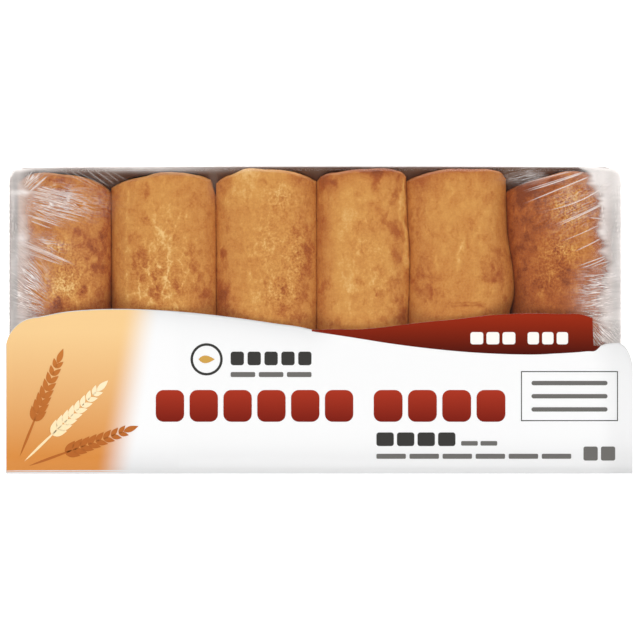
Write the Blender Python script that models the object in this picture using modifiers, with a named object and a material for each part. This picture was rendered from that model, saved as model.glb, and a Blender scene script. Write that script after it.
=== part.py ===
"""A retail pack of six baked sausage rolls: a shallow tray, clear film and a card label.

The rolls lie side by side across the tray and stand proud of its rim. Clear film is drawn over
them and down the tray's flared walls, and its lap seam runs as an open slot under the tray. The
card label lies on the near half of the film and folds down over the near wall.
"""

import math
from dataclasses import dataclass

import bmesh
import bpy
from mathutils import Vector

MM = 0.001

# Driving dimensions in millimetres. +X runs along the pack, +Y towards the rolls' far ends, +Z up.
PACK_LENGTH = 270.0
PACK_DEPTH = 134.35
PACK_HEIGHT = 35.7
PACK_MIDDLE = (-1.8, 0.325)
CLEARANCE = 0.3

FILM_WALL = 0.35
FILM_LEFT_CORNER = 8.6
FILM_RIGHT_CORNER = 6.6
SEAM_LENGTH = 190.0
SEAM_WIDTH = 3.0

TRAY_WALL = 0.6
TRAY_RIM_HEIGHT = 22.0
TRAY_CORNER = 8.2
TRAY_DRAFT = 4.0
TRAY_RIM_WIDTH = 1.0
TRAY_EDGE_RADIUS = 2.0

LABEL_HALF_LENGTH = 138.2
LABEL_CARD = 0.35
LABEL_FOLD_Y = -67.5
LABEL_FOLD_DEPTH = 9.0
LABEL_FOLD_DROP = 6.0
LABEL_FOLD_STEPS = 5
LABEL_LOWER_EDGE = 4.0
LABEL_LEAN = 3.2
LABEL_LEAN_FROM = 20.8
LABEL_DROOP = 1.5
LABEL_DROOP_FROM = 118.0

# The label's cut edge as x and y, left to right: a round corner, a long wave, a square tab end,
# a round ear.
LABEL_EDGE = (
    (-138.2, -16.0), (-137.9, -10.7), (-137.0, -7.5), (-135.6, -4.3), (-133.4, -1.9), (-130.6, -0.1),
    (-127.0, 1.2), (-122.6, 2.1), (-118.0, 2.9), (-113.0, 3.8), (-106.0, 4.6), (-99.0, 5.0),
    (-91.0, 5.2), (-82.0, 5.1), (-73.0, 4.8), (-61.0, 4.0), (-50.5, 3.0), (-40.0, 1.8),
    (-29.5, 0.3), (-19.0, -1.3), (-8.5, -2.8), (-3.3, -3.8), (10.0, -3.8), (23.0, -3.2),
    (36.5, -1.7), (50.0, -0.3), (62.0, 0.9), (75.0, 2.3), (87.0, 3.3), (98.0, 3.4),
    (109.0, 2.8), (119.8, 2.0), (120.6, -11.0), (124.3, -10.8), (127.8, -9.7), (130.8, -9.7),
    (133.2, -10.4), (135.6, -12.3), (137.3, -15.6), (138.2, -19.6),
)

ROLL_END_POWER = 0.34
ROLL_SIDE_POWER = 0.74
ROLL_CROWN_POWER = 0.86
ROLL_BASE_POWER = 0.5
ROLL_AROUND = 24
ROLL_ALONG = 16
ROLL_NEAR_REACH = 65.2
ROLL_OVERHANG_FROM = 1.5
ROLL_OVERHANG_RISE = 5.5

CORNER_STEPS = 5
LONG_SIDE_POINTS = 7
SHORT_SIDE_POINTS = 3


@dataclass(frozen=True)
class Roll:
    """One baked roll, in millimetres."""

    name: str
    left: float
    right: float
    far: float
    top: float
    left_shoulder_back: float
    near_swell: float


# The rolls from left to right. A shoulder set back slants the far end, and a swell widens the
# right side towards the near end.
ROLLS = (
    Roll("roll_1", -130.6, -92.4, 65.9, 34.0, 2.0, 0.0),
    Roll("roll_2", -91.3, -46.6, 65.9, 35.0, 2.0, 0.0),
    Roll("roll_3", -45.0, -1.6, 66.3, 34.8, 0.5, 0.0),
    Roll("roll_4", -0.3, 39.3, 66.3, 34.5, 0.0, 0.0),
    Roll("roll_5", 40.4, 84.4, 66.3, 35.0, 3.0, 1.2),
    Roll("roll_6", 86.5, 125.0, 65.9, 34.2, 8.5, 0.0),
)

PASTRY_COLOURS = {
    "roll_1": (0.54, 0.24, 0.085),
    "roll_2": (0.63, 0.29, 0.084),
    "roll_3": (0.64, 0.30, 0.091),
    "roll_4": (0.64, 0.31, 0.093),
    "roll_5": (0.59, 0.25, 0.067),
    "roll_6": (0.49, 0.23, 0.098),
}


def clear_scene():
    """Remove every object and the data that only they used."""
    for item in list(bpy.data.objects):
        bpy.data.objects.remove(item, do_unlink=True)
    bpy.ops.outliner.orphans_purge(do_local_ids=True, do_recursive=True)


def new_collection(name):
    """A new collection linked to the scene."""
    collection = bpy.data.collections.new(name)
    bpy.context.scene.collection.children.link(collection)
    return collection


def principled(name, colour, roughness, alpha=1.0):
    """A plain dielectric material with this linear colour."""
    material = bpy.data.materials.new(name)
    material.use_nodes = True
    shader = material.node_tree.nodes["Principled BSDF"]
    shader.inputs["Base Color"].default_value = (*colour, 1.0)
    shader.inputs["Roughness"].default_value = roughness
    shader.inputs["Metallic"].default_value = 0.0
    shader.inputs["Alpha"].default_value = alpha
    return material


def add_object(name, mesh, material, collection, smooth_angle=40.0):
    """Put a mesh in the collection as an object, shaded smooth except over sharp edges."""
    mesh.shade_smooth()
    mesh.set_sharp_from_angle(angle=math.radians(smooth_angle))
    mesh.materials.append(material)
    item = bpy.data.objects.new(name, mesh)
    collection.objects.link(item)
    return item


def mesh_from(name, bm):
    """A mesh from a bmesh that was built in millimetres."""
    bmesh.ops.scale(bm, vec=(MM, MM, MM), verts=bm.verts)
    mesh = bpy.data.meshes.new(name)
    bm.to_mesh(mesh)
    bm.free()
    return mesh


def solidify(item, thickness):
    """Give an open surface a wall on the side that its faces point away from."""
    modifier = item.modifiers.new("wall", "SOLIDIFY")
    modifier.thickness = thickness * MM
    modifier.offset = -1.0
    modifier.use_even_offset = True


def signed_power(value, power):
    """The power of a number's size, with the number's own sign."""
    return math.copysign(abs(value) ** power, value)


def mix(start, end, share):
    """The value that lies this share of the way from start to end."""
    return start + (end - start) * share


def ease(share):
    """A cosine step from 0 to 1 that starts and ends level."""
    return 0.5 - 0.5 * math.cos(math.pi * min(max(share, 0.0), 1.0))


def outline(half_length, half_depth, left_corner, right_corner):
    """A rounded rectangle about the pack's middle, counterclockwise from the right side.

    Each corner is an arc and each straight side has evenly spaced points, so outlines of any
    size have the same number of points and can be joined ring to ring.
    """
    corners = (
        (half_length, half_depth, right_corner, 0.0),
        (-half_length, half_depth, left_corner, 90.0),
        (-half_length, -half_depth, left_corner, 180.0),
        (half_length, -half_depth, right_corner, 270.0),
    )
    arcs = []
    for corner_x, corner_y, radius, start in corners:
        middle_x = corner_x - math.copysign(radius, corner_x)
        middle_y = corner_y - math.copysign(radius, corner_y)
        arc = []
        for step in range(CORNER_STEPS + 1):
            angle = math.radians(start + 90.0 * step / CORNER_STEPS)
            arc.append((middle_x + radius * math.cos(angle), middle_y + radius * math.sin(angle)))
        arcs.append(arc)
    points = []
    for index, arc in enumerate(arcs):
        points += arc
        following = arcs[(index + 1) % len(arcs)][0]
        between = LONG_SIDE_POINTS if index % 2 == 0 else SHORT_SIDE_POINTS
        for step in range(1, between + 1):
            share = step / (between + 1)
            points.append((mix(arc[-1][0], following[0], share), mix(arc[-1][1], following[1], share)))
    return [(x + PACK_MIDDLE[0], y + PACK_MIDDLE[1]) for x, y in points]


def loft(bm, rings):
    """Join rings of points, listed from the bottom up, into a skin that faces outwards."""
    loops = [[bm.verts.new(point) for point in ring] for ring in rings]
    for lower, upper in zip(loops, loops[1:]):
        for index, vertex in enumerate(lower):
            after = (index + 1) % len(lower)
            bm.faces.new((vertex, lower[after], upper[after], upper[index]))
    return loops


def build_tray(collection):
    """The tray: a flat floor, rounded into flared walls that end in a narrow out-turned rim."""
    rim_x = PACK_LENGTH / 2 - FILM_WALL - CLEARANCE
    rim_y = PACK_DEPTH / 2 - FILM_WALL - CLEARANCE
    floor = FILM_WALL + CLEARANCE
    foot = TRAY_RIM_WIDTH + TRAY_DRAFT
    profile = (
        (foot + TRAY_EDGE_RADIUS, floor),
        (foot + 0.3 * TRAY_EDGE_RADIUS, floor + 0.3 * TRAY_EDGE_RADIUS),
        (foot, floor + TRAY_EDGE_RADIUS),
        (TRAY_RIM_WIDTH, TRAY_RIM_HEIGHT - TRAY_WALL),
        (0.0, TRAY_RIM_HEIGHT),
    )
    rings = []
    for inset, height in profile:
        corner = TRAY_CORNER - 0.5 * inset
        plan = outline(rim_x - inset, rim_y - inset, corner, corner)
        rings.append([(x, y, height) for x, y in plan])
    bm = bmesh.new()
    loops = loft(bm, rings)
    bm.faces.new(reversed(loops[0]))
    material = principled("thermoformed brown plastic", (0.045, 0.028, 0.020), 0.45)
    tray = add_object("tray", mesh_from("tray", bm), material, collection)
    solidify(tray, TRAY_WALL)


def build_film(collection):
    """The film: drawn from the seam over the floor, up the walls and across the rolls' crowns.

    Each ring is given by how far it lies inside the largest outline, at the ends and at the long
    sides, and by its height. The ends slope in over the outer rolls, and the long sides stand
    nearly upright at the rolls' blunt ends.
    """
    rings = []
    half_x = PACK_LENGTH / 2
    half_y = PACK_DEPTH / 2
    seam_round = SEAM_WIDTH / 2
    seam = outline(SEAM_LENGTH / 2, seam_round, seam_round, seam_round)
    rings.append([(x, y, 0.0) for x, y in seam])
    profile = (
        (5.9, 5.9, 0.0),
        (4.6, 4.6, 0.5),
        (4.0, 4.0, 2.2),
        (0.0, 0.0, 21.6),
        (0.0, 0.0, 23.2),
        (2.3, 0.25, 26.0),
        (6.6, 1.1, 30.0),
        (12.6, 4.2, 33.8),
        (17.5, 7.6, 35.2),
        (24.0, 12.0, PACK_HEIGHT),
    )
    for end_inset, side_inset, height in profile:
        rounder = 0.5 * side_inset if height > TRAY_RIM_HEIGHT else -0.5 * side_inset
        left = FILM_LEFT_CORNER + rounder
        right = FILM_RIGHT_CORNER + rounder
        plan = outline(half_x - end_inset, half_y - side_inset, left, right)
        rings.append([(x, y, height) for x, y in plan])
    bm = bmesh.new()
    loops = loft(bm, rings)
    bm.faces.new(loops[-1])
    material = principled("clear wrapping film", (0.9, 0.9, 0.9), 0.1, alpha=0.3)
    film = add_object("film", mesh_from("film", bm), material, collection)
    solidify(film, FILM_WALL)


def tray_end(height, end):
    """How far along Y a roll may reach inside the tray at this height; end is 1 far, -1 near."""
    gaps = 2 * CLEARANCE + FILM_WALL + TRAY_WALL + TRAY_RIM_WIDTH
    share = min(max(height / TRAY_RIM_HEIGHT, 0.0), 1.0)
    return PACK_DEPTH / 2 + end * PACK_MIDDLE[1] - gaps - TRAY_DRAFT * (1.0 - share)


def end_reach(full, height, end):
    """How far a roll's end reaches at this height: tucked in the tray, then out over its rim."""
    tucked = min(full, tray_end(height, end))
    over_rim = (height - TRAY_RIM_HEIGHT - ROLL_OVERHANG_FROM) / ROLL_OVERHANG_RISE
    return mix(tucked, full, min(max(over_rim, 0.0), 1.0))


def build_roll(roll, collection):
    """One roll: a sphere drawn out to a blunt bar with a round crown and a flat base.

    A vertex's latitude gives its place along the roll and its longitude its place around it.
    Powers of the sines and cosines square off the ends, the sides and the base.
    """
    base = FILM_WALL + TRAY_WALL + 2 * CLEARANCE
    middle_x = 0.5 * (roll.left + roll.right)
    middle_z = 0.5 * (base + roll.top)
    half_width = 0.5 * (roll.right - roll.left)
    half_height = 0.5 * (roll.top - base)
    bm = bmesh.new()
    bmesh.ops.create_uvsphere(bm, u_segments=ROLL_AROUND, v_segments=ROLL_ALONG, radius=1.0)
    for vertex in bm.verts:
        direction = vertex.co.normalized()
        ring = signed_power(math.sqrt(max(1.0 - direction.z**2, 0.0)), ROLL_END_POWER)
        along = signed_power(direction.z, ROLL_END_POWER)
        around = math.atan2(-direction.y, direction.x)
        rise = math.sin(around)
        power = ROLL_CROWN_POWER if rise > 0 else ROLL_BASE_POWER
        side = ring * signed_power(math.cos(around), ROLL_SIDE_POWER)
        height = max(middle_z + half_height * ring * signed_power(rise, power), base)
        if along > 0:
            shoulder = roll.left_shoulder_back * max(-side, 0.0) ** 2
            place = along * end_reach(roll.far - shoulder, height, 1)
        else:
            place = along * end_reach(ROLL_NEAR_REACH, height, -1)
        swell = roll.near_swell * max(side, 0.0) * ease(0.5 - along)
        vertex.co = Vector((middle_x + half_width * side + swell, place, height))
    material = principled(f"baked pastry {roll.name}", PASTRY_COLOURS[roll.name], 0.55)
    add_object(roll.name, mesh_from(roll.name, bm), material, collection)


def label_column(x, edge):
    """The card's outer face at x: flat from its cut edge's y to the fold, then down the near wall.

    The fold is a quarter of an ellipse, wider than it is tall, because the card is springy.
    """
    droop = LABEL_DROOP * ease((abs(x) - LABEL_DROOP_FROM) / (LABEL_HALF_LENGTH - LABEL_DROOP_FROM))
    top = PACK_HEIGHT + CLEARANCE + LABEL_CARD - droop
    fold_start = LABEL_FOLD_Y + LABEL_FOLD_DEPTH
    points = [(x, mix(edge, fold_start, step / 3), top) for step in range(4)]
    for step in range(1, LABEL_FOLD_STEPS + 1):
        angle = 0.5 * math.pi * step / LABEL_FOLD_STEPS
        forward = LABEL_FOLD_DEPTH * math.sin(angle)
        drop = LABEL_FOLD_DROP * (1.0 - math.cos(angle))
        points.append((x, fold_start - forward, top - drop))
    points.append((x, LABEL_FOLD_Y, LABEL_LEAN_FROM))
    points.append((x, LABEL_FOLD_Y + LABEL_LEAN, LABEL_LOWER_EDGE))
    return points


def build_label(collection):
    """The label: one bent card whose cut edge is a wave and whose soft fold is its near edge."""
    bm = bmesh.new()
    columns = [[bm.verts.new(point) for point in label_column(x, edge)] for x, edge in LABEL_EDGE]
    for left, right in zip(columns, columns[1:]):
        for row in range(len(left) - 1):
            bm.faces.new((left[row], left[row + 1], right[row + 1], right[row]))
    material = principled("white coated card", (0.88, 0.88, 0.88), 0.35)
    label = add_object("label", mesh_from("label", bm), material, collection, smooth_angle=60.0)
    solidify(label, LABEL_CARD)


def build_pack():
    """The whole pack, from the tray outwards."""
    clear_scene()
    collection = new_collection("sausage_roll_pack")
    build_tray(collection)
    for roll in ROLLS:
        build_roll(roll, collection)
    build_film(collection)
    build_label(collection)


build_pack()
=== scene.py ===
"""Looks of a film-wrapped tray of six baked sausage rolls with a wave-edged card label.

Sizes are millimetres in the pack's own frame: +X runs along the pack, +Y from the label's fold
to the rolls' far ends, +Z up. Meshes are turned to metres when they are made.
"""

import logging
import math
from dataclasses import dataclass, field
from enum import Enum
from typing import Any, Sequence

import bpy
import numpy as np
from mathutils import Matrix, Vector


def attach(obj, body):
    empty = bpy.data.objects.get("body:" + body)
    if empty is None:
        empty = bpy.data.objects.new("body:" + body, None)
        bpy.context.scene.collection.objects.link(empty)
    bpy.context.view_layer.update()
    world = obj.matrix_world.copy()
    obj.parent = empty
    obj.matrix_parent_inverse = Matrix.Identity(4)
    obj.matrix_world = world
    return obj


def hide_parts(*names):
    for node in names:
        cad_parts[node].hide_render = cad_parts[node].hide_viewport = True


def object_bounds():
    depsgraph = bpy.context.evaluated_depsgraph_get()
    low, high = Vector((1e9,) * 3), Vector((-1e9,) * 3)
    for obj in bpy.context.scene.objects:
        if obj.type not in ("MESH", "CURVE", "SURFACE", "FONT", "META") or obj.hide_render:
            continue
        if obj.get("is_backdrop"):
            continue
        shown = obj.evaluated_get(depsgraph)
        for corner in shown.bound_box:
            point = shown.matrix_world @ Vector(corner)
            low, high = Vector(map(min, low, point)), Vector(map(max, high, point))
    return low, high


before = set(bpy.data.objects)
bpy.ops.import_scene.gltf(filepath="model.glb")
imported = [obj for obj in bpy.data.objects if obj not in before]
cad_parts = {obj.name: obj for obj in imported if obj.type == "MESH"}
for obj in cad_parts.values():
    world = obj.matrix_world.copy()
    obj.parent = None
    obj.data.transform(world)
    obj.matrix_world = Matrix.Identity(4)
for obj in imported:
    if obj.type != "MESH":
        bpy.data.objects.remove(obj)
cad_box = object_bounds()

Array = np.ndarray
Line = tuple[tuple[float, float], ...]
Material = bpy.types.Material
Socket = bpy.types.NodeSocket

log = logging.getLogger("sausage_roll_pack")

MM = 0.001
BODY = "root"


class Slot(Enum):
    """The record's material slots."""

    TRAY = "tray_plastic"
    PASTRY = "pastry"
    FILM = "wrapping_film"
    CARD = "label_card"


class End(Enum):
    """The pack's two ends, as the sign of X."""

    LEFT = -1
    RIGHT = 1


def linear(hex_colour: str) -> tuple[float, float, float, float]:
    """Turn an sRGB hex colour into linear light.

    Args:
        hex_colour: six hex digits after a number sign.

    Returns:
        Linear red, green, blue and an alpha of 1.
    """
    parts = [int(hex_colour[i : i + 2], 16) / 255 for i in (1, 3, 5)]
    red, green, blue = (v / 12.92 if v <= 0.04045 else ((v + 0.055) / 1.055) ** 2.4 for v in parts)
    return red, green, blue, 1.0


def ease(share: Array | float) -> Array:
    """Smooth step: 0 up to 0, 1 from 1, and 3s^2 - 2s^3 between."""
    held = np.clip(share, 0.0, 1.0)
    return held * held * (3.0 - 2.0 * held)


def signed_power(value: Array, power: float) -> Array:
    """A power of each number's size, with the number's own sign."""
    return np.sign(value) * np.abs(value) ** power


def lattice(cells: Array, seed: int) -> Array:
    """A random number from -1 to 1 for each integer cell, mixed from its three coordinates."""
    x, y, z = (cells[..., i].astype(np.uint32) for i in range(3))
    mixed = x * np.uint32(374761393) + y * np.uint32(668265263) + z * np.uint32(2246822519)
    mixed = mixed + np.uint32(seed * 3266489917 % 2**32)
    mixed = (mixed ^ (mixed >> np.uint32(13))) * np.uint32(1274126177)
    mixed = mixed ^ (mixed >> np.uint32(16))
    return mixed.astype(np.float64) / 2**31 - 1.0


def far_bow(x: Array, y: Array, depth: float = 0.45, middle: float = 15.0, half: float = 120.0) -> Array:
    """How far +Y the pack's far side bulges: a parabola about a middle x, and none on the near side."""
    return depth * np.clip(1.0 - ((x - middle) / half) ** 2, -0.2, 1.0) * ease(y / 60.0)


def noise(points: Array, size: float | Sequence[float], seed: int) -> Array:
    """Value noise: random numbers at the corners of a lattice, eased along x, y and z between.

    Args:
        points: places in millimetres, last axis x, y, z.
        size: the lattice's cell in millimetres, or one for each axis.
        seed: which noise.

    Returns:
        A number from -1 to 1 for each place.
    """
    place = points / np.asarray(size, float) + 1000.0
    cell = np.floor(place).astype(np.int64)
    share = ease(place - cell)
    total = np.zeros(points.shape[:-1])
    for corner in np.ndindex(2, 2, 2):
        step = np.array(corner)
        weight = np.prod(np.where(step == 1, share, 1.0 - share), axis=-1)
        total += weight * lattice(cell + step, seed)
    return total


def fractal(points: Array, size: float, seed: int, octaves: int = 4, gain: float = 0.5) -> Array:
    """A sum of noises, each at half the size and at gain times the strength of the one before."""
    layers = [gain**i * noise(points, size / 2**i, seed + i) for i in range(octaves)]
    return sum(layers) / sum(gain**i for i in range(octaves))


def spread(start: float, stops: Sequence[tuple[float, float]]) -> Array:
    """Numbers from start through each stop, at about the spacing given with the stop."""
    parts = [np.array([start])]
    for stop, spacing in stops:
        count = max(1, round(abs(stop - parts[-1][-1]) / spacing))
        parts.append(np.linspace(parts[-1][-1], stop, count + 1)[1:])
    return np.concatenate(parts)


def through(stops: Line, at: Array) -> Array:
    """A smooth curve through points, held level beyond the first and the last.

    Between two points it is the cubic Hermite curve whose slope at each is the mean slope of the
    stretches on both sides.

    Args:
        stops: the points, as pairs of where and how much, in rising order of where.
        at: where to read the curve.

    Returns:
        The curve's value at each place.
    """
    x, y = np.array(stops, float).T
    slope = np.gradient(y, x)
    held = np.clip(at, x[0], x[-1])
    left = np.clip(np.searchsorted(x, held, side="right") - 1, 0, len(x) - 2)
    span = x[left + 1] - x[left]
    share = (held - x[left]) / span
    before, after = (1.0 - share) ** 2, share**2
    level = (1.0 + 2.0 * share) * before * y[left] + (3.0 - 2.0 * share) * after * y[left + 1]
    return level + span * (share * before * slope[left] - (1.0 - share) * after * slope[left + 1])


def even_path(path: Array, spacing: Array) -> Array:
    """Where to sample a path so that steps along it follow a wished spacing.

    Args:
        path: points of a fine polyline.
        spacing: the wished step at each of the points.

    Returns:
        Positions as fractional indices into the path, from 0 to its last index.
    """
    steps = np.linalg.norm(np.diff(path, axis=0), axis=1)
    done = np.concatenate([[0.0], np.cumsum(steps / (0.5 * (spacing[1:] + spacing[:-1])))])
    wanted = np.linspace(0.0, done[-1], max(8, round(done[-1])) + 1)
    return np.interp(wanted, done, np.arange(len(path)))


def grid_normals(points: Array) -> Array:
    """Unit normals of a grid: the cross product of its steps along columns and along rows."""
    across = np.gradient(points, axis=1)
    along = np.gradient(points, axis=0)
    normal = np.cross(across, along)
    return normal / np.maximum(np.linalg.norm(normal, axis=-1, keepdims=True), 1e-9)


@dataclass
class Skin:
    """Points and faces that are gathered from grids and become one mesh."""

    points: list[Array] = field(default_factory=list)
    faces: list[list[int]] = field(default_factory=list)
    values: dict[str, list[Array]] = field(default_factory=dict)
    count: int = 0

    def add_points(self, points: Array, **values: Array) -> int:
        """Add points with named values, and return the number of the first.

        A value is a number for each point, or three numbers if it is as large as the points.
        """
        flat = np.reshape(points, (-1, 3))
        self.points.append(flat)
        for name, value in values.items():
            if np.shape(value) == points.shape:
                part = np.reshape(value, (-1, 3))
            else:
                part = np.broadcast_to(value, points.shape[:-1]).ravel()
            self.values.setdefault(name, []).append(part)
        first = self.count
        self.count += len(flat)
        return first

    def add_grid(self, points: Array, around: bool = False, **values: Array) -> int:
        """Add a grid of quads whose faces look along columns cross rows.

        Args:
            points: rows, columns and x, y, z.
            around: True if the last column joins the first.
            values: a number for each point.

        Returns:
            The number of the grid's first point.
        """
        first = self.add_points(points, **values)
        numbers = first + np.arange(points.shape[0] * points.shape[1]).reshape(points.shape[:2])
        if around:
            numbers = np.concatenate([numbers, numbers[:, :1]], axis=1)
        low, high = numbers[:-1], numbers[1:]
        quads = np.stack([low[:, :-1], low[:, 1:], high[:, 1:], high[:, :-1]], axis=-1)
        self.faces += quads.reshape(-1, 4).tolist()
        return first

    def add_fan(self, middle: Array, ring: Array, flip: bool = False, **values: float) -> None:
        """Close a ring of point numbers with triangles to a middle point."""
        tip_values = {key: np.array([value]) for key, value in values.items()}
        centre = self.add_points(np.asarray(middle, float)[None], **tip_values)
        after = np.roll(ring, -1)
        pairs = (after, ring) if flip else (ring, after)
        self.faces += np.stack([*pairs, np.full(len(ring), centre)], axis=-1).tolist()

    def build(self, name: str, material: Material, slot: Slot, replaces: str = "") -> bpy.types.Object:
        """Make the mesh and its object, and tie it to the pack's body.

        Args:
            name: the piece's name.
            material: its finish.
            slot: the record's slot that the finish stands for; not used.
            replaces: the CAD node that the piece stands for, if any.

        Returns:
            The new object.
        """
        mesh = bpy.data.meshes.new(name)
        mesh.from_pydata((np.concatenate(self.points) * MM).tolist(), [], self.faces)
        for key, parts in self.values.items():
            kind, target = ("FLOAT_VECTOR", "vector") if parts[0].ndim == 2 else ("FLOAT", "value")
            layer = mesh.attributes.new(key, kind, "POINT")
            layer.data.foreach_set(target, np.concatenate(parts).astype(np.float32).ravel())
        mesh.materials.append(material)
        mesh.shade_smooth()
        piece = bpy.data.objects.new(name, mesh)
        bpy.context.scene.collection.objects.link(piece)
        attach(piece, BODY)
        if replaces:
            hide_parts(replaces)
        log.info("%s: %d points, %d faces", name, self.count, len(self.faces))
        return piece


def add_node(
    tree: bpy.types.NodeTree,
    kind: str,
    settings: dict[str | int, Any] | None = None,
    links: dict[str | int, Socket] | None = None,
) -> bpy.types.Node:
    """Add one node with its settings and links.

    Args:
        tree: the material's or world's tree.
        kind: the node's type without its ShaderNode prefix.
        settings: properties of the node, colour stops, or values of its inputs.
        links: sockets that feed its inputs, by the input's name or number.

    Returns:
        The new node.
    """
    node = tree.nodes.new(f"ShaderNode{kind}")
    for key, value in (settings or {}).items():
        if key == "stops":
            stops = node.color_ramp.elements
            for _ in range(len(value) - len(stops)):
                stops.new(0.5)
            for stop, (place, colour) in zip(stops, value):
                stop.position = place
                stop.color = linear(colour)
        elif isinstance(key, str) and hasattr(node, key):
            setattr(node, key, value)
        else:
            node.inputs[key].default_value = value
    for key, socket in (links or {}).items():
        tree.links.new(socket, node.inputs[key])
    return node


def scale_of(size_mm: float) -> float:
    """The texture scale at which one cell is this many millimetres of Object coordinates."""
    return 1.0 / (size_mm * MM)


@dataclass
class Graph:
    """A new material's node tree, with the steps that the finishes share."""

    name: str
    material: Material = field(init=False)
    tree: bpy.types.NodeTree = field(init=False)

    def __post_init__(self) -> None:
        """Make an empty node material."""
        self.material = bpy.data.materials.new(self.name)
        self.material.use_nodes = True
        self.tree = self.material.node_tree
        self.tree.nodes.clear()

    def node(self, kind: str, settings: dict | None = None, links: dict | None = None) -> bpy.types.Node:
        """One node with its settings and links."""
        return add_node(self.tree, kind, settings, links)

    def place(self) -> Socket:
        """The place in Object coordinates."""
        return self.node("TexCoord").outputs["Object"]

    def read(self, name: str) -> Socket:
        """A number that the mesh holds for each point."""
        return self.node("Attribute", {"attribute_name": name}).outputs["Fac"]

    def step(self, operation: str, first: Any, second: Any = 0.0, third: Any = 0.0) -> Socket:
        """One arithmetic step between sockets or numbers."""
        terms = {0: first, 1: second, 2: third}
        sockets = {k: v for k, v in terms.items() if isinstance(v, Socket)}
        numbers = {k: v for k, v in terms.items() if k not in sockets}
        return self.node("Math", {"operation": operation, **numbers}, sockets).outputs[0]

    def cloud(self, size: float, detail: float, rough: float, at: Socket) -> Socket:
        """A noise from 0 to 1 whose largest patches are this many millimetres."""
        settings = {"Scale": scale_of(size), "Detail": detail, "Roughness": rough}
        return self.node("TexNoise", settings, {"Vector": at}).outputs["Fac"]

    def rise(self, value: Socket, low: float, high: float, top: float = 1.0) -> Socket:
        """A smooth step from 0 at low to top at high, or down from top if top is negative."""
        ends = {"To Min": max(-top, 0.0), "To Max": max(top, 0.0)}
        settings = {"interpolation_type": "SMOOTHSTEP", "From Min": low, "From Max": high, **ends}
        return self.node("MapRange", settings, {"Value": value}).outputs[0]

    def scaled(self, scale: tuple[float, float, float], at: Socket) -> Socket:
        """The place with each axis scaled, so that a pattern is drawn out along some of them."""
        return self.node("Mapping", {"Scale": scale}, {"Vector": at}).outputs[0]

    def ramp(self, stops: Sequence[tuple[float, str]], value: Socket) -> Socket:
        """The colour between stops of a value and a hex colour."""
        return self.node("ValToRGB", {"stops": stops}, {"Fac": value}).outputs["Color"]

    def bump(self, height: Socket, strength: float, distance: float) -> Socket:
        """The normal that a height gives."""
        return self.node("Bump", {"Strength": strength, "Distance": distance}, {"Height": height}).outputs[0]

    def principled(self, settings: dict, links: dict | None = None) -> Socket:
        """A principled shader."""
        return self.node("BsdfPrincipled", settings, links).outputs[0]

    def end(self, shader: Socket) -> Material:
        """Feed the shader to the output, and return the material."""
        self.node("OutputMaterial", {}, {"Surface": shader})
        return self.material


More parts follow.
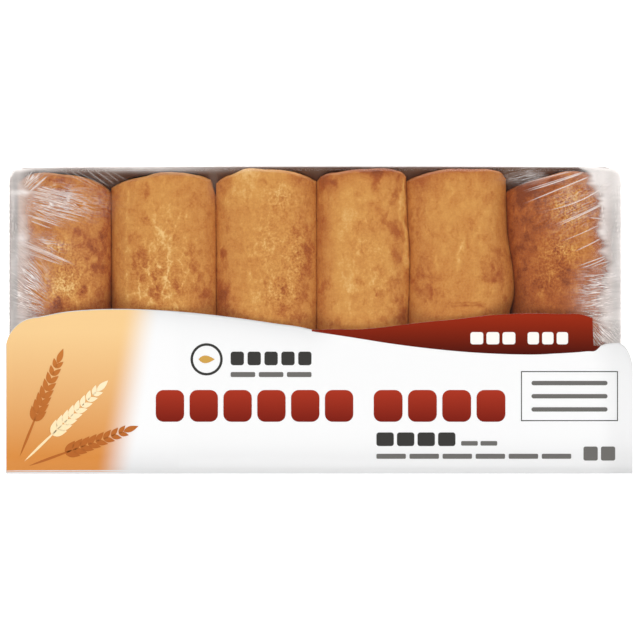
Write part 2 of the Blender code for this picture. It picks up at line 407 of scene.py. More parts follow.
@dataclass(frozen=True)
class BakedPastry:
    """Puff pastry, egg washed and baked.

    The wash dries to a thin satin glaze. The sheets under it brown in ragged patches, and split
    into a pale network where the layers lift.
    """

    name: str
    tone: float = 0.60
    vein_size: float = 5.0
    vein_stretch: float = 1.6
    vein_half_width: float = 0.62
    vein_strength: float = 0.16
    fine_size: float = 1.8
    fine_half_width: float = 0.32
    fine_strength: float = 0.07
    wander: float = 3.6
    grit_strength: float = 0.16
    grain_strength: float = 0.16
    sheet_strength: float = 0.07
    mottle_strength: float = 0.40
    fibre_strength: float = 0.20
    toast_strength: float = 0.30
    deep: str = "#823D16"
    brown: str = "#AA5B26"
    tan: str = "#C6813D"
    gold: str = "#D79B4F"
    pale: str = "#EFC682"

    def material(self) -> Material:
        """The pastry's node material; reads the roll's shift, brown and crackle attributes."""
        graph = Graph(self.name)
        step, cloud, rise, place = graph.step, graph.cloud, graph.rise, graph.place()
        # The veins wander: their coordinates are pushed about by a noise of a few millimetres.
        drift = graph.node("TexNoise", {"Scale": scale_of(3.4), "Detail": 3.0}, {"Vector": place})
        span = self.wander * MM
        about = {"operation": "MULTIPLY_ADD", 1: (span,) * 3, 2: (-0.5 * span,) * 3}
        push = graph.node("VectorMath", about, {0: drift.outputs["Color"]})
        bent = graph.node("VectorMath", {"operation": "ADD"}, {0: place, 1: push.outputs[0]}).outputs[0]
        drawn = graph.scaled((1.0, 1.0 / self.vein_stretch, 1.0), bent)
        lines = []
        for size, half in ((self.vein_size, self.vein_half_width), (self.fine_size, self.fine_half_width)):
            settings = {"feature": "DISTANCE_TO_EDGE", "Scale": scale_of(size)}
            cells = graph.node("TexVoronoi", settings, {"Vector": drawn})
            lines.append(rise(cells.outputs["Distance"], 0.0, half / size, -1.0))
        broken = rise(cloud(5.0, 3.0, 0.5, place), 0.30, 0.62)
        mottle = cloud(4.6, 6.0, 0.62, bent)
        ragged = rise(cloud(3.2, 5.0, 0.58, graph.scaled((1.0, 0.66, 1.0), bent)), 0.26, 0.74)
        grit = rise(cloud(1.0, 2.0, 0.6, place), 0.34, 0.66)
        grain = cloud(0.8, 2.0, 0.6, place)
        along = cloud(1.2, 3.0, 0.55, graph.scaled((1.0, 0.11, 1.0), bent))
        across = cloud(0.9, 2.0, 0.5, graph.scaled((0.13, 1.0, 1.0), bent))
        # Each sheet between the veins has taken a little more or less colour.
        sheets = graph.node("TexVoronoi", {"Scale": scale_of(0.6 * self.vein_size)}, {"Vector": drawn})
        sheet = graph.node("SeparateXYZ", {}, {0: sheets.outputs["Color"]}).outputs[0]
        crackle, brown, shift = (graph.read(name) for name in ("crackle", "brown", "shift"))
        vein = step("MULTIPLY", lines[0], step("MULTIPLY", crackle, broken))
        rough_grit = step("MULTIPLY", step("ADD", grit, -0.5), step("ADD", crackle, 0.15))
        tone = step("ADD", shift, self.tone)
        for layer, strength in (
            (mottle, self.mottle_strength), (along, self.fibre_strength),
            (across, 0.4 * self.fibre_strength), (grain, self.grain_strength), (sheet, self.sheet_strength),
        ):
            tone = step("MULTIPLY_ADD", layer, strength, step("ADD", tone, -0.5 * strength))
        tone = step("MULTIPLY_ADD", rough_grit, self.grit_strength, tone)
        tone = step("MULTIPLY_ADD", vein, self.vein_strength, tone)
        tone = step("MULTIPLY_ADD", step("MULTIPLY", lines[1], crackle), self.fine_strength, tone)
        # A noise decides where browning takes hold, so its patches have soft and ragged edges.
        toasted = rise(step("MULTIPLY_ADD", ragged, 0.8, step("ADD", brown, -0.40)), 0.12, 1.05)
        tone = step("MULTIPLY_ADD", toasted, -self.toast_strength, tone)
        stops = ((0.0, self.deep), (0.27, self.brown), (0.52, self.tan), (0.72, self.gold), (1.0, self.pale))
        relief = step("MULTIPLY_ADD", vein, 0.35, step("MULTIPLY_ADD", rough_grit, 0.8, mottle))
        relief = step("MULTIPLY_ADD", along, 0.5, relief)
        rough = graph.node("MapRange", {"To Min": 0.66, "To Max": 0.48}, {"Value": mottle}).outputs[0]
        shader = graph.principled(
            {"IOR": 1.42, "Specular IOR Level": 0.3},
            {
                "Base Color": graph.ramp(stops, tone),
                "Roughness": rough,
                "Normal": graph.bump(relief, 0.4, 0.0004),
            },
        )
        return graph.end(shader)


@dataclass(frozen=True)
class StretchFilm:
    """Clear stretch film, blown and drawn.

    One taut layer is all but invisible, and gathered layers trap air and turn milky. A haze
    attribute says how milky each place is; along the creases its white is partly painted
    highlight on the folds' ridges, and at the far rim partly painted sheen. A fold attribute
    says where the film is drawn into folds as fine as hairs: its x runs across them, its y along
    them, and its z is their strength. The hairs' white lines are partly painted highlights. The
    real folds are finer still, and these are as fine as the view can show.
    """

    name: str = "clear_stretch_film"
    milk_and_glint: str = "#F5EEEA"
    clear: str = "#FCFBFA"
    gloss_rough: float = 0.20
    square_on: float = 0.022
    most_gloss: float = 0.45
    fold_pitch: float = 0.9
    fold_length: float = 14.0
    hair_width: float = 0.072
    clearing: float = 0.35

    def material(self) -> Material:
        """The film's node material; reads the film's haze and fold attributes.

        The gloss follows Schlick's rule, up to its greatest share: the fifth power of the slant.
        It is the same from both faces of the film. A hair runs where a noise crosses its middle
        value, and the whiter film where it is high; their white is partly milky film and partly
        painted highlight on the folds. Between the hairs of a gather the film is clearer than its
        haze on the whole.
        """
        graph = Graph(self.name)
        step = graph.step
        haze = graph.read("haze")
        fold = graph.node("Attribute", {"attribute_name": "fold"}).outputs["Vector"]
        strength = graph.node("SeparateXYZ", {}, {0: fold}).outputs["Z"]
        spaced = graph.scaled((1.0 / self.fold_pitch, 1.0 / self.fold_length, 0.0), fold)
        settings = {"Scale": 1.0, "Detail": 2.0, "Roughness": 0.6}
        hairs = graph.node("TexNoise", settings, {"Vector": spaced}).outputs["Fac"]
        off = step("ABSOLUTE", step("SUBTRACT", hairs, 0.5))
        hair_glint = graph.rise(off, 0.0, self.hair_width, -1.0)
        folds = step("MULTIPLY", step("MAXIMUM", hair_glint, graph.rise(hairs, 0.50, 0.72, 0.36)), strength)
        between = step("MULTIPLY", haze, step("MULTIPLY_ADD", strength, -self.clearing, 1.0))
        clamped = {"operation": "MAXIMUM", "use_clamp": True}
        milky = graph.node("Math", clamped, {0: between, 1: folds}).outputs[0]
        bump = graph.bump(folds, 0.4, 0.0002)
        fifth = step("POWER", graph.node("LayerWeight", {"Blend": 0.5}).outputs["Facing"], 5.0)
        glint = step("MULTIPLY_ADD", fifth, self.most_gloss - self.square_on, self.square_on)
        clear = graph.node("BsdfTransparent", {"Color": linear(self.clear)}).outputs[0]
        polish = {"Color": linear("#FFFFFF"), "Roughness": self.gloss_rough}
        gloss = graph.node("BsdfGlossy", polish, {"Normal": bump}).outputs[0]
        pane = graph.node("MixShader", {}, {0: glint, 1: clear, 2: gloss}).outputs[0]
        white = {"Base Color": linear(self.milk_and_glint), "Roughness": 0.4, "IOR": 1.5}
        milk_and_glint = graph.principled(white, {"Normal": bump})
        return graph.end(graph.node("MixShader", {}, {0: milky, 1: pane, 2: milk_and_glint}).outputs[0])


@dataclass(frozen=True)
class CoatedCard:
    """Clay-coated white card, smooth and satin. An attribute says how much grey is painted on it as shade."""

    name: str = "clay_coated_card"
    white: str = "#F5F5F5"
    # The grey of the painted shade.
    grey: str = "#9A9A9C"

    def colour(self, graph: Graph) -> Socket:
        """The card's colour: white, with the grey of the painted shade mixed in."""
        ends = {"Color1": linear(self.white), "Color2": linear(self.grey)}
        return graph.node("MixRGB", ends, {"Fac": graph.read("tint")}).outputs[0]

    def material(self) -> Material:
        """The card's node material."""
        graph = Graph(self.name)
        bump = graph.bump(graph.cloud(0.6, 3.0, 0.5, graph.place()), 0.08, 0.00005)
        links = {"Base Color": self.colour(graph), "Normal": bump}
        return graph.end(graph.principled({"Roughness": 0.42, "IOR": 1.5}, links))


@dataclass(frozen=True)
class Ink:
    """Offset ink on coated card: satin, and shaded from one Y to another as printed tints are."""

    name: str
    near: str
    far: str
    near_y: float = -60.0
    far_y: float = 0.0
    speckle: float = 0.04
    faded_from: float | None = None
    fade_run: float = 18.0
    fade_slant: float = -0.18

    def material(self) -> Material:
        """The ink's node material: a blend along Y with the faint speckle of a printed dot screen.

        An ink with a place to fade from runs out to bare card over the run towards +X.
        """
        graph = Graph(self.name)
        place = graph.place()
        split = graph.node("SeparateXYZ", {}, {0: place})
        ends = {"From Min": self.near_y * MM, "From Max": self.far_y * MM}
        share = graph.node("MapRange", ends, {"Value": split.outputs["Y"]}).outputs[0]
        mixed = graph.step("MULTIPLY_ADD", graph.cloud(0.5, 1.0, 0.5, place), self.speckle, share)
        colour = graph.ramp(((0.0, self.near), (1.0, self.far)), mixed)
        if self.faded_from is not None:
            slanted = graph.step("MULTIPLY_ADD", split.outputs["Y"], self.fade_slant, split.outputs["X"])
            bare = graph.rise(slanted, self.faded_from * MM, (self.faded_from + self.fade_run) * MM)
            card = CoatedCard().colour(graph)
            colour = graph.node("MixRGB", {}, {"Fac": bare, "Color1": colour, "Color2": card}).outputs[0]
        satin = {"Roughness": 0.45, "IOR": 1.45, "Specular IOR Level": 0.12}
        return graph.end(graph.principled(satin, {"Base Color": colour}))


@dataclass(frozen=True)
class TrayPlastic:
    """Thermoformed polypropylene sheet: taupe, satin, with the soft grain of its mould."""

    name: str = "thermoformed_polypropylene"
    body: str = "#684A38"
    worn: str = "#765845"

    def material(self) -> Material:
        """The tray's node material."""
        graph = Graph(self.name)
        place = graph.place()
        colour = graph.ramp(((0.35, self.body), (0.75, self.worn)), graph.cloud(12.0, 3.0, 0.5, place))
        bump = graph.bump(graph.cloud(0.5, 2.0, 0.5, place), 0.2, 0.0001)
        satin = {"Roughness": 0.55, "IOR": 1.49, "Specular IOR Level": 0.3}
        return graph.end(graph.principled(satin, {"Base Color": colour, "Normal": bump}))


@dataclass(frozen=True)
class Blotch:
    """A soft-edged patch on a roll, by its centre and half sizes in the pack's frame."""

    x: float
    y: float
    half_x: float
    half_y: float
    strength: float

    def at(self, points: Array) -> Array:
        """How strong the patch is at each point: a bell of the distance over the half sizes."""
        dx = (points[..., 0] - self.x) / self.half_x
        dy = (points[..., 1] - self.y) / self.half_y
        return self.strength * np.exp(-(dx * dx + dy * dy))


@dataclass(frozen=True)
class Flap:
    """A narrow lip of pastry that lies over the crust along a line, paler than what is under it."""

    line: Line
    half_width: float
    lift: float
    paleness: float = 0.10

    def at(self, points: Array) -> Array:
        """How present the lip is at each point: a bell across the line, faded at its two ends."""
        y = points[..., 1]
        wander = 0.7 * noise(points, 5.0, 11) + 0.4 * noise(points, 1.8, 12)
        width = self.half_width * (1.0 + 0.7 * noise(points * (0.0, 1.0, 0.0), 6.0, 13))
        off = (points[..., 0] - through(self.line, y) + wander) / width
        start, stop = self.line[0][0], self.line[-1][0]
        return np.exp(-(off**4)) * ease((y - start) / 3.0) * ease((stop - y) / 3.0)


@dataclass(frozen=True)
class Vein:
    """A split in the crust along a line of points in plan, which throws off short side splits."""

    line: Line
    strength: float = 0.20
    half_width: float = 0.42
    branches: int = 3

    def lines(self, random: np.random.Generator) -> list[tuple[Array, float, float]]:
        """The split and its side splits, each as its points, its strength and its half width.

        A side split leaves a random place on the line, turned 35 to 80 degrees from it.
        """
        line = np.array(self.line)
        found = [(line, self.strength, self.half_width)]
        for _ in range(self.branches):
            part = random.integers(len(line) - 1)
            root = line[part] + (line[part + 1] - line[part]) * random.uniform(0.1, 0.9)
            run = line[part + 1] - line[part]
            heading = math.atan2(run[1], run[0])
            turn = heading + random.choice((-1, 1)) * math.radians(random.uniform(35.0, 80.0))
            reach = random.uniform(1.8, 5.0)
            bend = turn + random.uniform(-0.6, 0.6)
            knee = root + 0.5 * reach * np.array((math.cos(turn), math.sin(turn)))
            tip = knee + 0.5 * reach * np.array((math.cos(bend), math.sin(bend)))
            found.append((np.stack([root, knee, tip]), 0.6 * self.strength, 0.8 * self.half_width))
        return found


def split_field(points: Array, veins: Sequence[Vein], seed: int) -> Array:
    """How much paler each point is for the splits near it.

    Over the distance to the nearest point of a line it is a narrow bell plus a faint bell three
    times as wide. Two noises push the places about first, and a third breaks the lines up.

    Args:
        points: places in millimetres.
        veins: the splits.
        seed: which noises and side splits.

    Returns:
        The shift in tone at each point.
    """
    random = np.random.default_rng(seed)
    total = np.zeros(points.shape[:-1])
    coarse = np.stack([noise(points, 2.6, seed), noise(points, 2.6, seed + 1)], axis=-1)
    fine = np.stack([noise(points, 0.9, seed + 2), noise(points, 0.9, seed + 3)], axis=-1)
    at = points[..., :2] + 0.6 * coarse + 0.22 * fine
    for vein in veins:
        for line, strength, half_width in vein.lines(random):
            nearest = np.full(total.shape, np.inf)
            for start, stop in zip(line, line[1:]):
                step = stop - start
                share = np.clip(((at - start) @ step) / (step @ step), 0.0, 1.0)
                nearest = np.minimum(nearest, np.linalg.norm(at - start - share[..., None] * step, axis=-1))
            off = nearest / half_width
            bell = np.exp(-(off**2)) + 0.35 * np.exp(-((off / 3.0) ** 2))
            total = np.where(np.abs(strength * bell) > np.abs(total), strength * bell, total)
    return total * np.clip(0.75 + 0.6 * noise(points, 1.9, seed + 4), 0.0, 1.3)


@dataclass(frozen=True)
class RollShape:
    """One roll's outline in plan, its height, and where it is browned, pale, painted with shade, crackled and
    split.

    left and right are stops of y and x along the lines where the roll presses on what is beside
    it. left_gap and right_gap are stops of y and of how far its crown stays back from them.
    far_end is the outline of the far end, as stops of x and y. squeeze is how far each side
    would have passed its line. lean moves the crown's top sideways, in half widths. rim_pale is
    how much paler the far end's cut edge is. A pale patch with a negative strength darkens
    the crust: painted shade at far ends and far corners, along seams, and where roll 5 shades
    roll 6; at the far ends of rolls 4 and 5 it is partly a browner toasted edge too.
    """

    left: Line
    right: Line
    far_end: Line
    top: float
    browned: tuple[Blotch, ...]
    crackled: tuple[Blotch, ...]
    paled_and_shaded: tuple[Blotch, ...] = ()
    veins: tuple[Vein, ...] = ()
    flaps: tuple[Flap, ...] = ()
    left_gap: Line = ((-60.0, 0.0), (60.0, 0.4))
    right_gap: Line = ((-60.0, 0.0), (60.0, 0.4))
    squeeze: tuple[float, float] = (1.5, 1.5)
    lean: float = 0.0
    rim_pale: float = 0.10


@dataclass
class SausageRoll:
    """One baked roll: a blunt bar with a round crown, a flat base and a lightly blistered crust.

    The means are a usual roll's sizes, by which points are spaced. dents to fibres are heights of
    the crust's relief, and all_over to least_crackle say how strongly its looks change.
    """

    number: int
    shape: RollShape
    finish: BakedPastry
    base: float = 1.6
    near_reach: float = 64.9
    tray_far: float = 64.9
    tray_ends: tuple[float, float] = (-134.9, 131.3)
    tray_draft: float = 4.0
    rim_height: float = 22.0
    end_round: float = 2.4
    end_power: float = 2.6
    side_power: float = 0.70
    crown_power: float = 0.86
    base_power: float = 0.5
    seen_step: float = 0.42
    hidden_step: float = 1.2
    under_step: float = 1.5
    seen_from: float = -0.14
    cap_step: float = 1.3
    mean_ring: float = 19.0
    mean_reach: float = 63.0
    mean_half_width: float = 21.0
    mean_half_height: float = 16.0
    gap_from: float = 13.0
    gap_rise: float = 14.0
    contact_gap: float = 0.03
    dents: float = 0.30
    blisters: float = 0.12
    flakes: float = 0.12
    specks: float = 0.03
    fibres: float = 0.05
    settling: float = 0.35
    all_over: float = 0.10
    uneven: float = 0.45
    side_browning_and_shade: float = 0.14
    low_paling_and_painted_light: float = 0.12
    painted_card_shadow: float = 0.10
    painted_card_shadow_run: float = 4.5
    rim_run: float = 1.3
    pale_and_shade_strength: float = 0.32
    least_crackle: float = 0.12

    def _profile(self) -> tuple[Array, Array, Array]:
        """Ring size, share along the straight body and share into the end cap, for each row.

        A cap is a quarter superellipse: the ring is a power of the cosine of an angle, and the
        share into the cap the same power of its sine. Rows are spaced by length along the
        profile, closer where the roll shows.
        """
        power = 2.0 / self.end_power
        angle = np.linspace(0.0, 0.5 * np.pi, 800)
        body = np.linspace(-1.0, 1.0, 4001)
        end = np.ones(len(angle) - 1)
        ring_out, cap_out = np.cos(angle) ** power, np.sin(angle) ** power
        ring = np.concatenate([ring_out[:0:-1], np.ones(len(body)), ring_out[1:]])
        along = np.concatenate([-end, body, end])
        cap = np.concatenate([-cap_out[:0:-1], np.zeros(len(body)), cap_out[1:]])
        path = np.stack([ring * self.mean_ring, along * self.mean_reach + cap * self.end_round], axis=-1)
        spacing = np.where(along < self.seen_from, self.hidden_step, self.seen_step)
        spacing = np.where(ring < 0.8, self.cap_step, spacing)
        rows = even_path(path, spacing)
        steps = np.arange(len(ring))
        return tuple(np.interp(rows, steps, values) for values in (ring, along, cap))

    def _section(self) -> tuple[Array, Array]:
        """Side and rise, from -1 to 1, for each column around the roll, closer on the crown."""
        angle = np.linspace(0.0, 2.0 * np.pi, 4001)
        side = signed_power(np.cos(angle), self.side_power)
        sine = np.sin(angle)
        rise = np.where(sine > 0, signed_power(sine, self.crown_power), signed_power(sine, self.base_power))
        path = np.stack([side * self.mean_half_width, rise * self.mean_half_height], axis=-1)
        spacing = np.where(rise > -0.3, self.seen_step, self.under_step)
        columns = even_path(path, spacing)[:-1]
        steps = np.arange(len(angle))
        return np.interp(columns, steps, side), np.interp(columns, steps, rise)

    def _tuck(self, height: Array) -> Array:
        """How far the tray's flared wall comes in at each height, against its rim."""
        return self.tray_draft * (1.0 - np.clip(height / self.rim_height, 0.0, 1.0))

    def _sides(self, y: Array, height: Array) -> tuple[Array, Array]:
        """The roll's left and right x, had its neighbours not been there.

        The crown stays back from the line by the gap, which opens smoothly from a height up.
        """
        shape = self.shape
        opened = ease((height - self.gap_from) / self.gap_rise)
        left = through(shape.left, y) - shape.squeeze[0] + through(shape.left_gap, y) * opened
        right = through(shape.right, y) + shape.squeeze[1] - through(shape.right_gap, y) * opened
        return left, right

    def _reach(self, x: Array, height: Array) -> Array:
        """How far +Y the far end reaches: to its own outline, or to the tray's wall below the rim."""
        full = through(self.shape.far_end, x)
        wall = self.tray_far - self._tuck(height)
        over = ease((height - self.rim_height - 0.3) / 4.0)
        return np.where(full < wall, full, wall + (full - wall) * over)

    def points(self) -> Array:
        """The smooth roll as a grid of rows along it and columns around it."""
        ring, along, cap = (value[:, None] for value in self._profile())
        side, rise = (value[None] for value in self._section())
        height = self.base + 0.5 * (self.shape.top - self.base) * (1.0 + ring * rise)
        leant = self.shape.lean * ring * np.clip(rise, 0.0, 1.0) * (1.0 - (ring * side) ** 2)
        across = ring * side + leant
        far_left, far_right = self.shape.left[-1][1], self.shape.right[-1][1]
        far_x = 0.5 * (far_left + far_right) + 0.5 * (far_right - far_left) * across
        reach = np.where(along > 0, self._reach(far_x, height), self.near_reach - self._tuck(height))
        y = along * (reach - self.end_round) + cap * self.end_round
        left, right = self._sides(y, height)
        x = 0.5 * (left + right) + 0.5 * (right - left) * across
        return np.stack([x, y, height], axis=-1)

    def relief(self, points: Array) -> Array:
        """The crust's relief in millimetres: broad dents, blisters, lifted flakes and lips.

        Flakes are ridges, 1 minus the size of a noise, drawn out along the roll.
        """
        seed = 100 * self.number
        dents = self.dents * fractal(points, 24.0, seed, 2)
        blisters = self.blisters * fractal(points, 6.0, seed + 10, 3)
        stretched = points * np.array([1.0, 0.6, 1.0])
        ridges = (1.0 - np.abs(noise(stretched, 3.2, seed + 20))) ** 6
        flakes = self.flakes * ridges * np.clip(fractal(points, 10.0, seed + 30, 2) + 0.3, 0.0, 1.0)
        grit = self.specks * noise(points, 0.9, seed + 40)
        grit += self.fibres * noise(points * (1.0, 0.12, 1.0), 1.6, seed + 41)
        lips = sum((flap.lift * flap.at(points) for flap in self.shape.flaps), np.zeros(points.shape[:-1]))
        return dents + blisters + flakes + grit + lips - self.settling

    def _values(self, points: Array) -> dict[str, Array]:
        """How shifted in tone, browned and crackled the crust is at each point.

        It darkens smoothly towards both sides: partly a browner crust, and partly painted shade
        where the crown turns away from the light and down into the seams. Low down it is paler:
        partly crust that the next roll kept from the heat, and partly painted light that lifts the
        shade in the crevices between the rolls. It is browner in the given patches, and it stays
        pale at the cut edge of the far end and along its splits. Pale patches with a negative
        strength are painted shade. Along the card's edge it is darker: a painted shadow of the
        card.
        """
        shape = self.shape
        left, right = through(shape.left, points[..., 1]), through(shape.right, points[..., 1])
        side = (points[..., 0] - 0.5 * (left + right)) / (0.5 * (right - left))
        seed = 100 * self.number + 50
        ragged = 1.0 + 0.8 * fractal(points, 6.0, seed, 3)
        zero = np.zeros(side.shape)
        upper = ease((points[..., 2] - 16.0) / 8.0)
        brown = self.all_over + self.uneven * np.clip(fractal(points, 14.0, seed + 5, 4), 0.0, 1.0)
        brown += sum((patch.at(points) * ragged for patch in shape.browned), zero)
        # Paler low down: crust that the next roll kept from the heat, and painted light that lifts the shade
        # in the crevices.
        low = ease((26.0 - points[..., 2]) / 10.0)
        # Darker towards both sides: a browner crust, and painted shade where the crown turns away from the
        # light.
        shift = -self.side_browning_and_shade * np.abs(side) ** 4 + self.low_paling_and_painted_light * low
        # A painted shadow of the card darkens the crust along the card's edge.
        from_card = points[..., 1] - CardShape().edge(points[..., 0])
        shift -= self.painted_card_shadow * np.exp(-((from_card / self.painted_card_shadow_run) ** 2))
        rim = through(shape.far_end, points[..., 0]) - points[..., 1]
        bitty = 0.6 + 0.6 * noise(points, 5.0, seed + 7)
        shift += shape.rim_pale * np.exp(-((rim / self.rim_run) ** 2)) * bitty * upper
        # Pale patches lighten the crust; those with a negative strength are painted shade, at the far ends of
        # rolls 4 and 5 partly a browner toasted edge too.
        shift += sum((self.pale_and_shade_strength * patch.at(points) * ragged for patch in shape.paled_and_shaded), zero)
        shift += sum((flap.paleness * flap.at(points) for flap in shape.flaps), zero)
        shift += split_field(points, shape.veins, seed + 8) * upper
        crackle = self.least_crackle + sum((patch.at(points) for patch in shape.crackled), zero)
        for flap in shape.flaps:
            brown *= 1.0 - 0.9 * flap.at(points)
        return {"shift": shift, "brown": np.clip(brown, 0.0, 1.5), "crackle": np.clip(crackle, 0.0, 1.4)}

    def build(self) -> bpy.types.Object:
        """Make the roll's piece, its tone shift with painted shade and light, browning and crackle on the
        points.
        """
        smooth = self.points()
        middle = smooth.mean(axis=1, keepdims=True)
        ring, _, _ = self._profile()
        settle = ease(ring * 2.5)[:, None]
        wrapped = np.concatenate([smooth[:, -1:], smooth, smooth[:, :1]], axis=1)
        normals = grid_normals(wrapped)[:, 1:-1]
        outward = np.sum(normals * (smooth - middle), axis=-1).mean() > 0
        normals = normals if outward else -normals
        flat_base = ease((smooth[..., 2] - self.base) / 2.0)
        lift = self.relief(smooth) * settle * flat_base
        points = smooth + normals * lift[..., None]
        points[..., 2] = np.maximum(points[..., 2], self.base)
        # The rolls baked against each other, so a side that would pass the next one lies flat on it.
        tuck = self._tuck(points[..., 2])
        first_x = through(self.shape.left, points[..., 1]) + self.contact_gap
        last_x = through(self.shape.right, points[..., 1]) - self.contact_gap
        first_x = np.maximum(first_x, self.tray_ends[0] + tuck)
        last_x = np.minimum(last_x, self.tray_ends[1] - tuck)
        points[..., 0] = np.clip(points[..., 0], first_x, last_x)
        values = {name: value[1:-1, ::-1] for name, value in self._values(points).items()}
        skin = Skin()
        first = skin.add_grid(points[1:-1, ::-1], around=True, **values)
        columns = points.shape[1]
        near_ring = first + np.arange(columns)
        far_ring = first + (points.shape[0] - 3) * columns + np.arange(columns)
        skin.add_fan(points[0].mean(axis=0), near_ring, flip=True, shift=-0.2, brown=0.2, crackle=0.2)
        skin.add_fan(points[-1].mean(axis=0), far_ring, shift=-0.1, brown=0.2, crackle=0.2)
        name = f"roll_{self.number}"
        return skin.build(f"baked_{name}", self.finish.material(), Slot.PASTRY, replaces=name)


@dataclass(frozen=True)
class Outline:
    """A rounded rectangle in plan, about the pack's middle."""

    half_length: float
    half_depth: float
    corner: float
    middle: tuple[float, float] = (-1.8, 0.325)
    corner_steps: int = 16
    side_steps: tuple[int, int] = (60, 30)

    def points(self) -> Array:
        """The outline's points, counterclockwise: straight sides and quarter-circle corners."""
        turns = np.linspace(0.0, 0.5 * np.pi, self.corner_steps + 1)
        straight_x = self.half_length - self.corner
        straight_y = self.half_depth - self.corner
        parts = []
        for quarter, (sign_x, sign_y) in enumerate(((1, 1), (-1, 1), (-1, -1), (1, -1))):
            angles = turns + 0.5 * np.pi * quarter
            arc = self.corner * np.stack([np.cos(angles), np.sin(angles)], axis=-1)
            arc += (sign_x * straight_x, sign_y * straight_y)
            parts.append(arc)
            length = 2.0 * (straight_x if quarter % 2 == 0 else straight_y)
            shares = np.linspace(0.0, 1.0, self.side_steps[quarter % 2])[1:-1, None]
            ahead = np.array([(-sign_x, 0.0), (0.0, -sign_y)][quarter % 2])
            parts.append(arc[-1] + shares * length * ahead)
        return np.concatenate(parts) + self.middle


@dataclass
class Tray:
    """The thermoformed tray: a flat floor, flared walls and a narrow rolled rim.

    Its far wall is scalloped round the rolls' ends, with webs between them level with the rim.
    """

    rolls: tuple[RollShape, ...] = ()
    finish: TrayPlastic = TrayPlastic()
    half_length: float = 134.8
    half_depth: float = 67.3
    corner: float = 7.0
    wall: float = 0.6
    rim_height: float = 22.0
    rim_width: float = 0.8
    draft: float = 4.0
    floor: float = 0.65
    edge_radius: float = 3.0
    inner_from: int = 13
    end_power: float = 2.6
    end_round: float = 2.4
    end_room: float = 0.3
    far_steps: tuple[int, int] = (300, 30)

    def _pocket(self, x: Array) -> Array:
        """How far +Y the inside reaches at each x: just beyond the far end of the roll there.

        Towards its sides a roll's end is a quarter superellipse.
        """
        reach = np.full(x.shape, self.half_depth)
        for roll in self.rolls:
            left, right = roll.left[-1][1], roll.right[-1][1]
            share = np.clip(np.abs(2.0 * x - left - right) / (right - left), 0.0, 1.0)
            cap = (1.0 - share**self.end_power) ** (1.0 / self.end_power)
            end = through(roll.far_end, x) - self.end_round * (1.0 - cap) + self.end_room
            reach = np.where((x > left) & (x < right), end, reach)
        return reach

    def _profile(self) -> Array:
        """Inset and height along the wall's section: outer face up, round the rim, inner face down.

        Each face is the draft's straight line, and a quarter circle joins it to the floor.
        """
        middle_x = self.rim_width + self.draft + self.edge_radius
        middle_z = self.floor + self.edge_radius
        turn = np.linspace(0.0, 0.5 * np.pi, 7)

        def rounded(radius: float, angle: Array) -> Array:
            """The arc of this radius about the edge's middle, by its angle from straight down."""
            return np.stack([middle_x - radius * np.sin(angle), middle_z - radius * np.cos(angle)], axis=-1)

        lip = np.array([
            (self.rim_width + 0.1, self.rim_height - 1.0),
            (self.rim_width - 0.1, self.rim_height - 0.75),
            (0.25, self.rim_height - 0.6),
            (0.0, self.rim_height - 0.4),
            (0.0, self.rim_height - 0.15),
            (0.2, self.rim_height),
            (self.rim_width + 0.3, self.rim_height),
            (self.rim_width + self.wall, self.rim_height - 0.35),
        ])
        outer, inner = rounded(self.edge_radius, turn), rounded(self.edge_radius - self.wall, turn[::-1])
        return np.concatenate([outer, lip, inner])

    def build(self) -> bpy.types.Object:
        """Make the tray's piece: the section carried round the outline, and both floors closed."""
        rings = []
        for number, (inset, height) in enumerate(self._profile()):
            corner = max(self.corner - 0.5 * inset, 1.0)
            outline = Outline(
                self.half_length - inset, self.half_depth - inset, corner, side_steps=self.far_steps
            )
            plan = outline.points()
            plan[:, 1] += far_bow(plan[:, 0], plan[:, 1])
            if number >= self.inner_from:
                plan[:, 1] = np.minimum(plan[:, 1], self._pocket(plan[:, 0]))
            rings.append(np.column_stack([plan, np.full(len(plan), height)]))
        points = np.stack(rings)
        skin = Skin()
        first = skin.add_grid(points, around=True)
        columns = points.shape[1]
        middle = np.array([*Outline.middle, 0.0])
        for row, flip in ((0, True), (len(rings) - 1, False)):
            ring = first + row * columns + np.arange(columns)
            skin.add_fan(middle + (0.0, 0.0, points[row, 0, 2]), ring, flip=flip)
        return skin.build("thermoformed_tray", self.finish.material(), Slot.TRAY, replaces="tray")


@dataclass(frozen=True)
class Crease:
    """One pinched fold of film in plan, from its root by an end to its tip further in."""

    root: tuple[float, float]
    tip: tuple[float, float]
    width: float
    height: float
    milk_and_glint: float
    bow: float = 0.0

    def across(self, x: Array, y: Array) -> tuple[Array, Array]:
        """Distance across the crease in widths, and how present it is, at each place.

        The crease's middle line is straight plus a bow, a parabola. It narrows to half towards
        its tip, fades in over its first sixth and out over its last third.
        """
        run, rise = self.tip[0] - self.root[0], self.tip[1] - self.root[1]
        length = math.hypot(run, rise)
        from_x, from_y = x - self.root[0], y - self.root[1]
        along = (from_x * run + from_y * rise) / length**2
        off = (from_y * run - from_x * rise) / length - self.bow * 4.0 * along * (1.0 - along)
        width = self.width * (1.0 - 0.5 * np.clip(along, 0.0, 1.0))
        return off / width, ease(along * 6.0) * ease((1.0 - along) * 3.0)


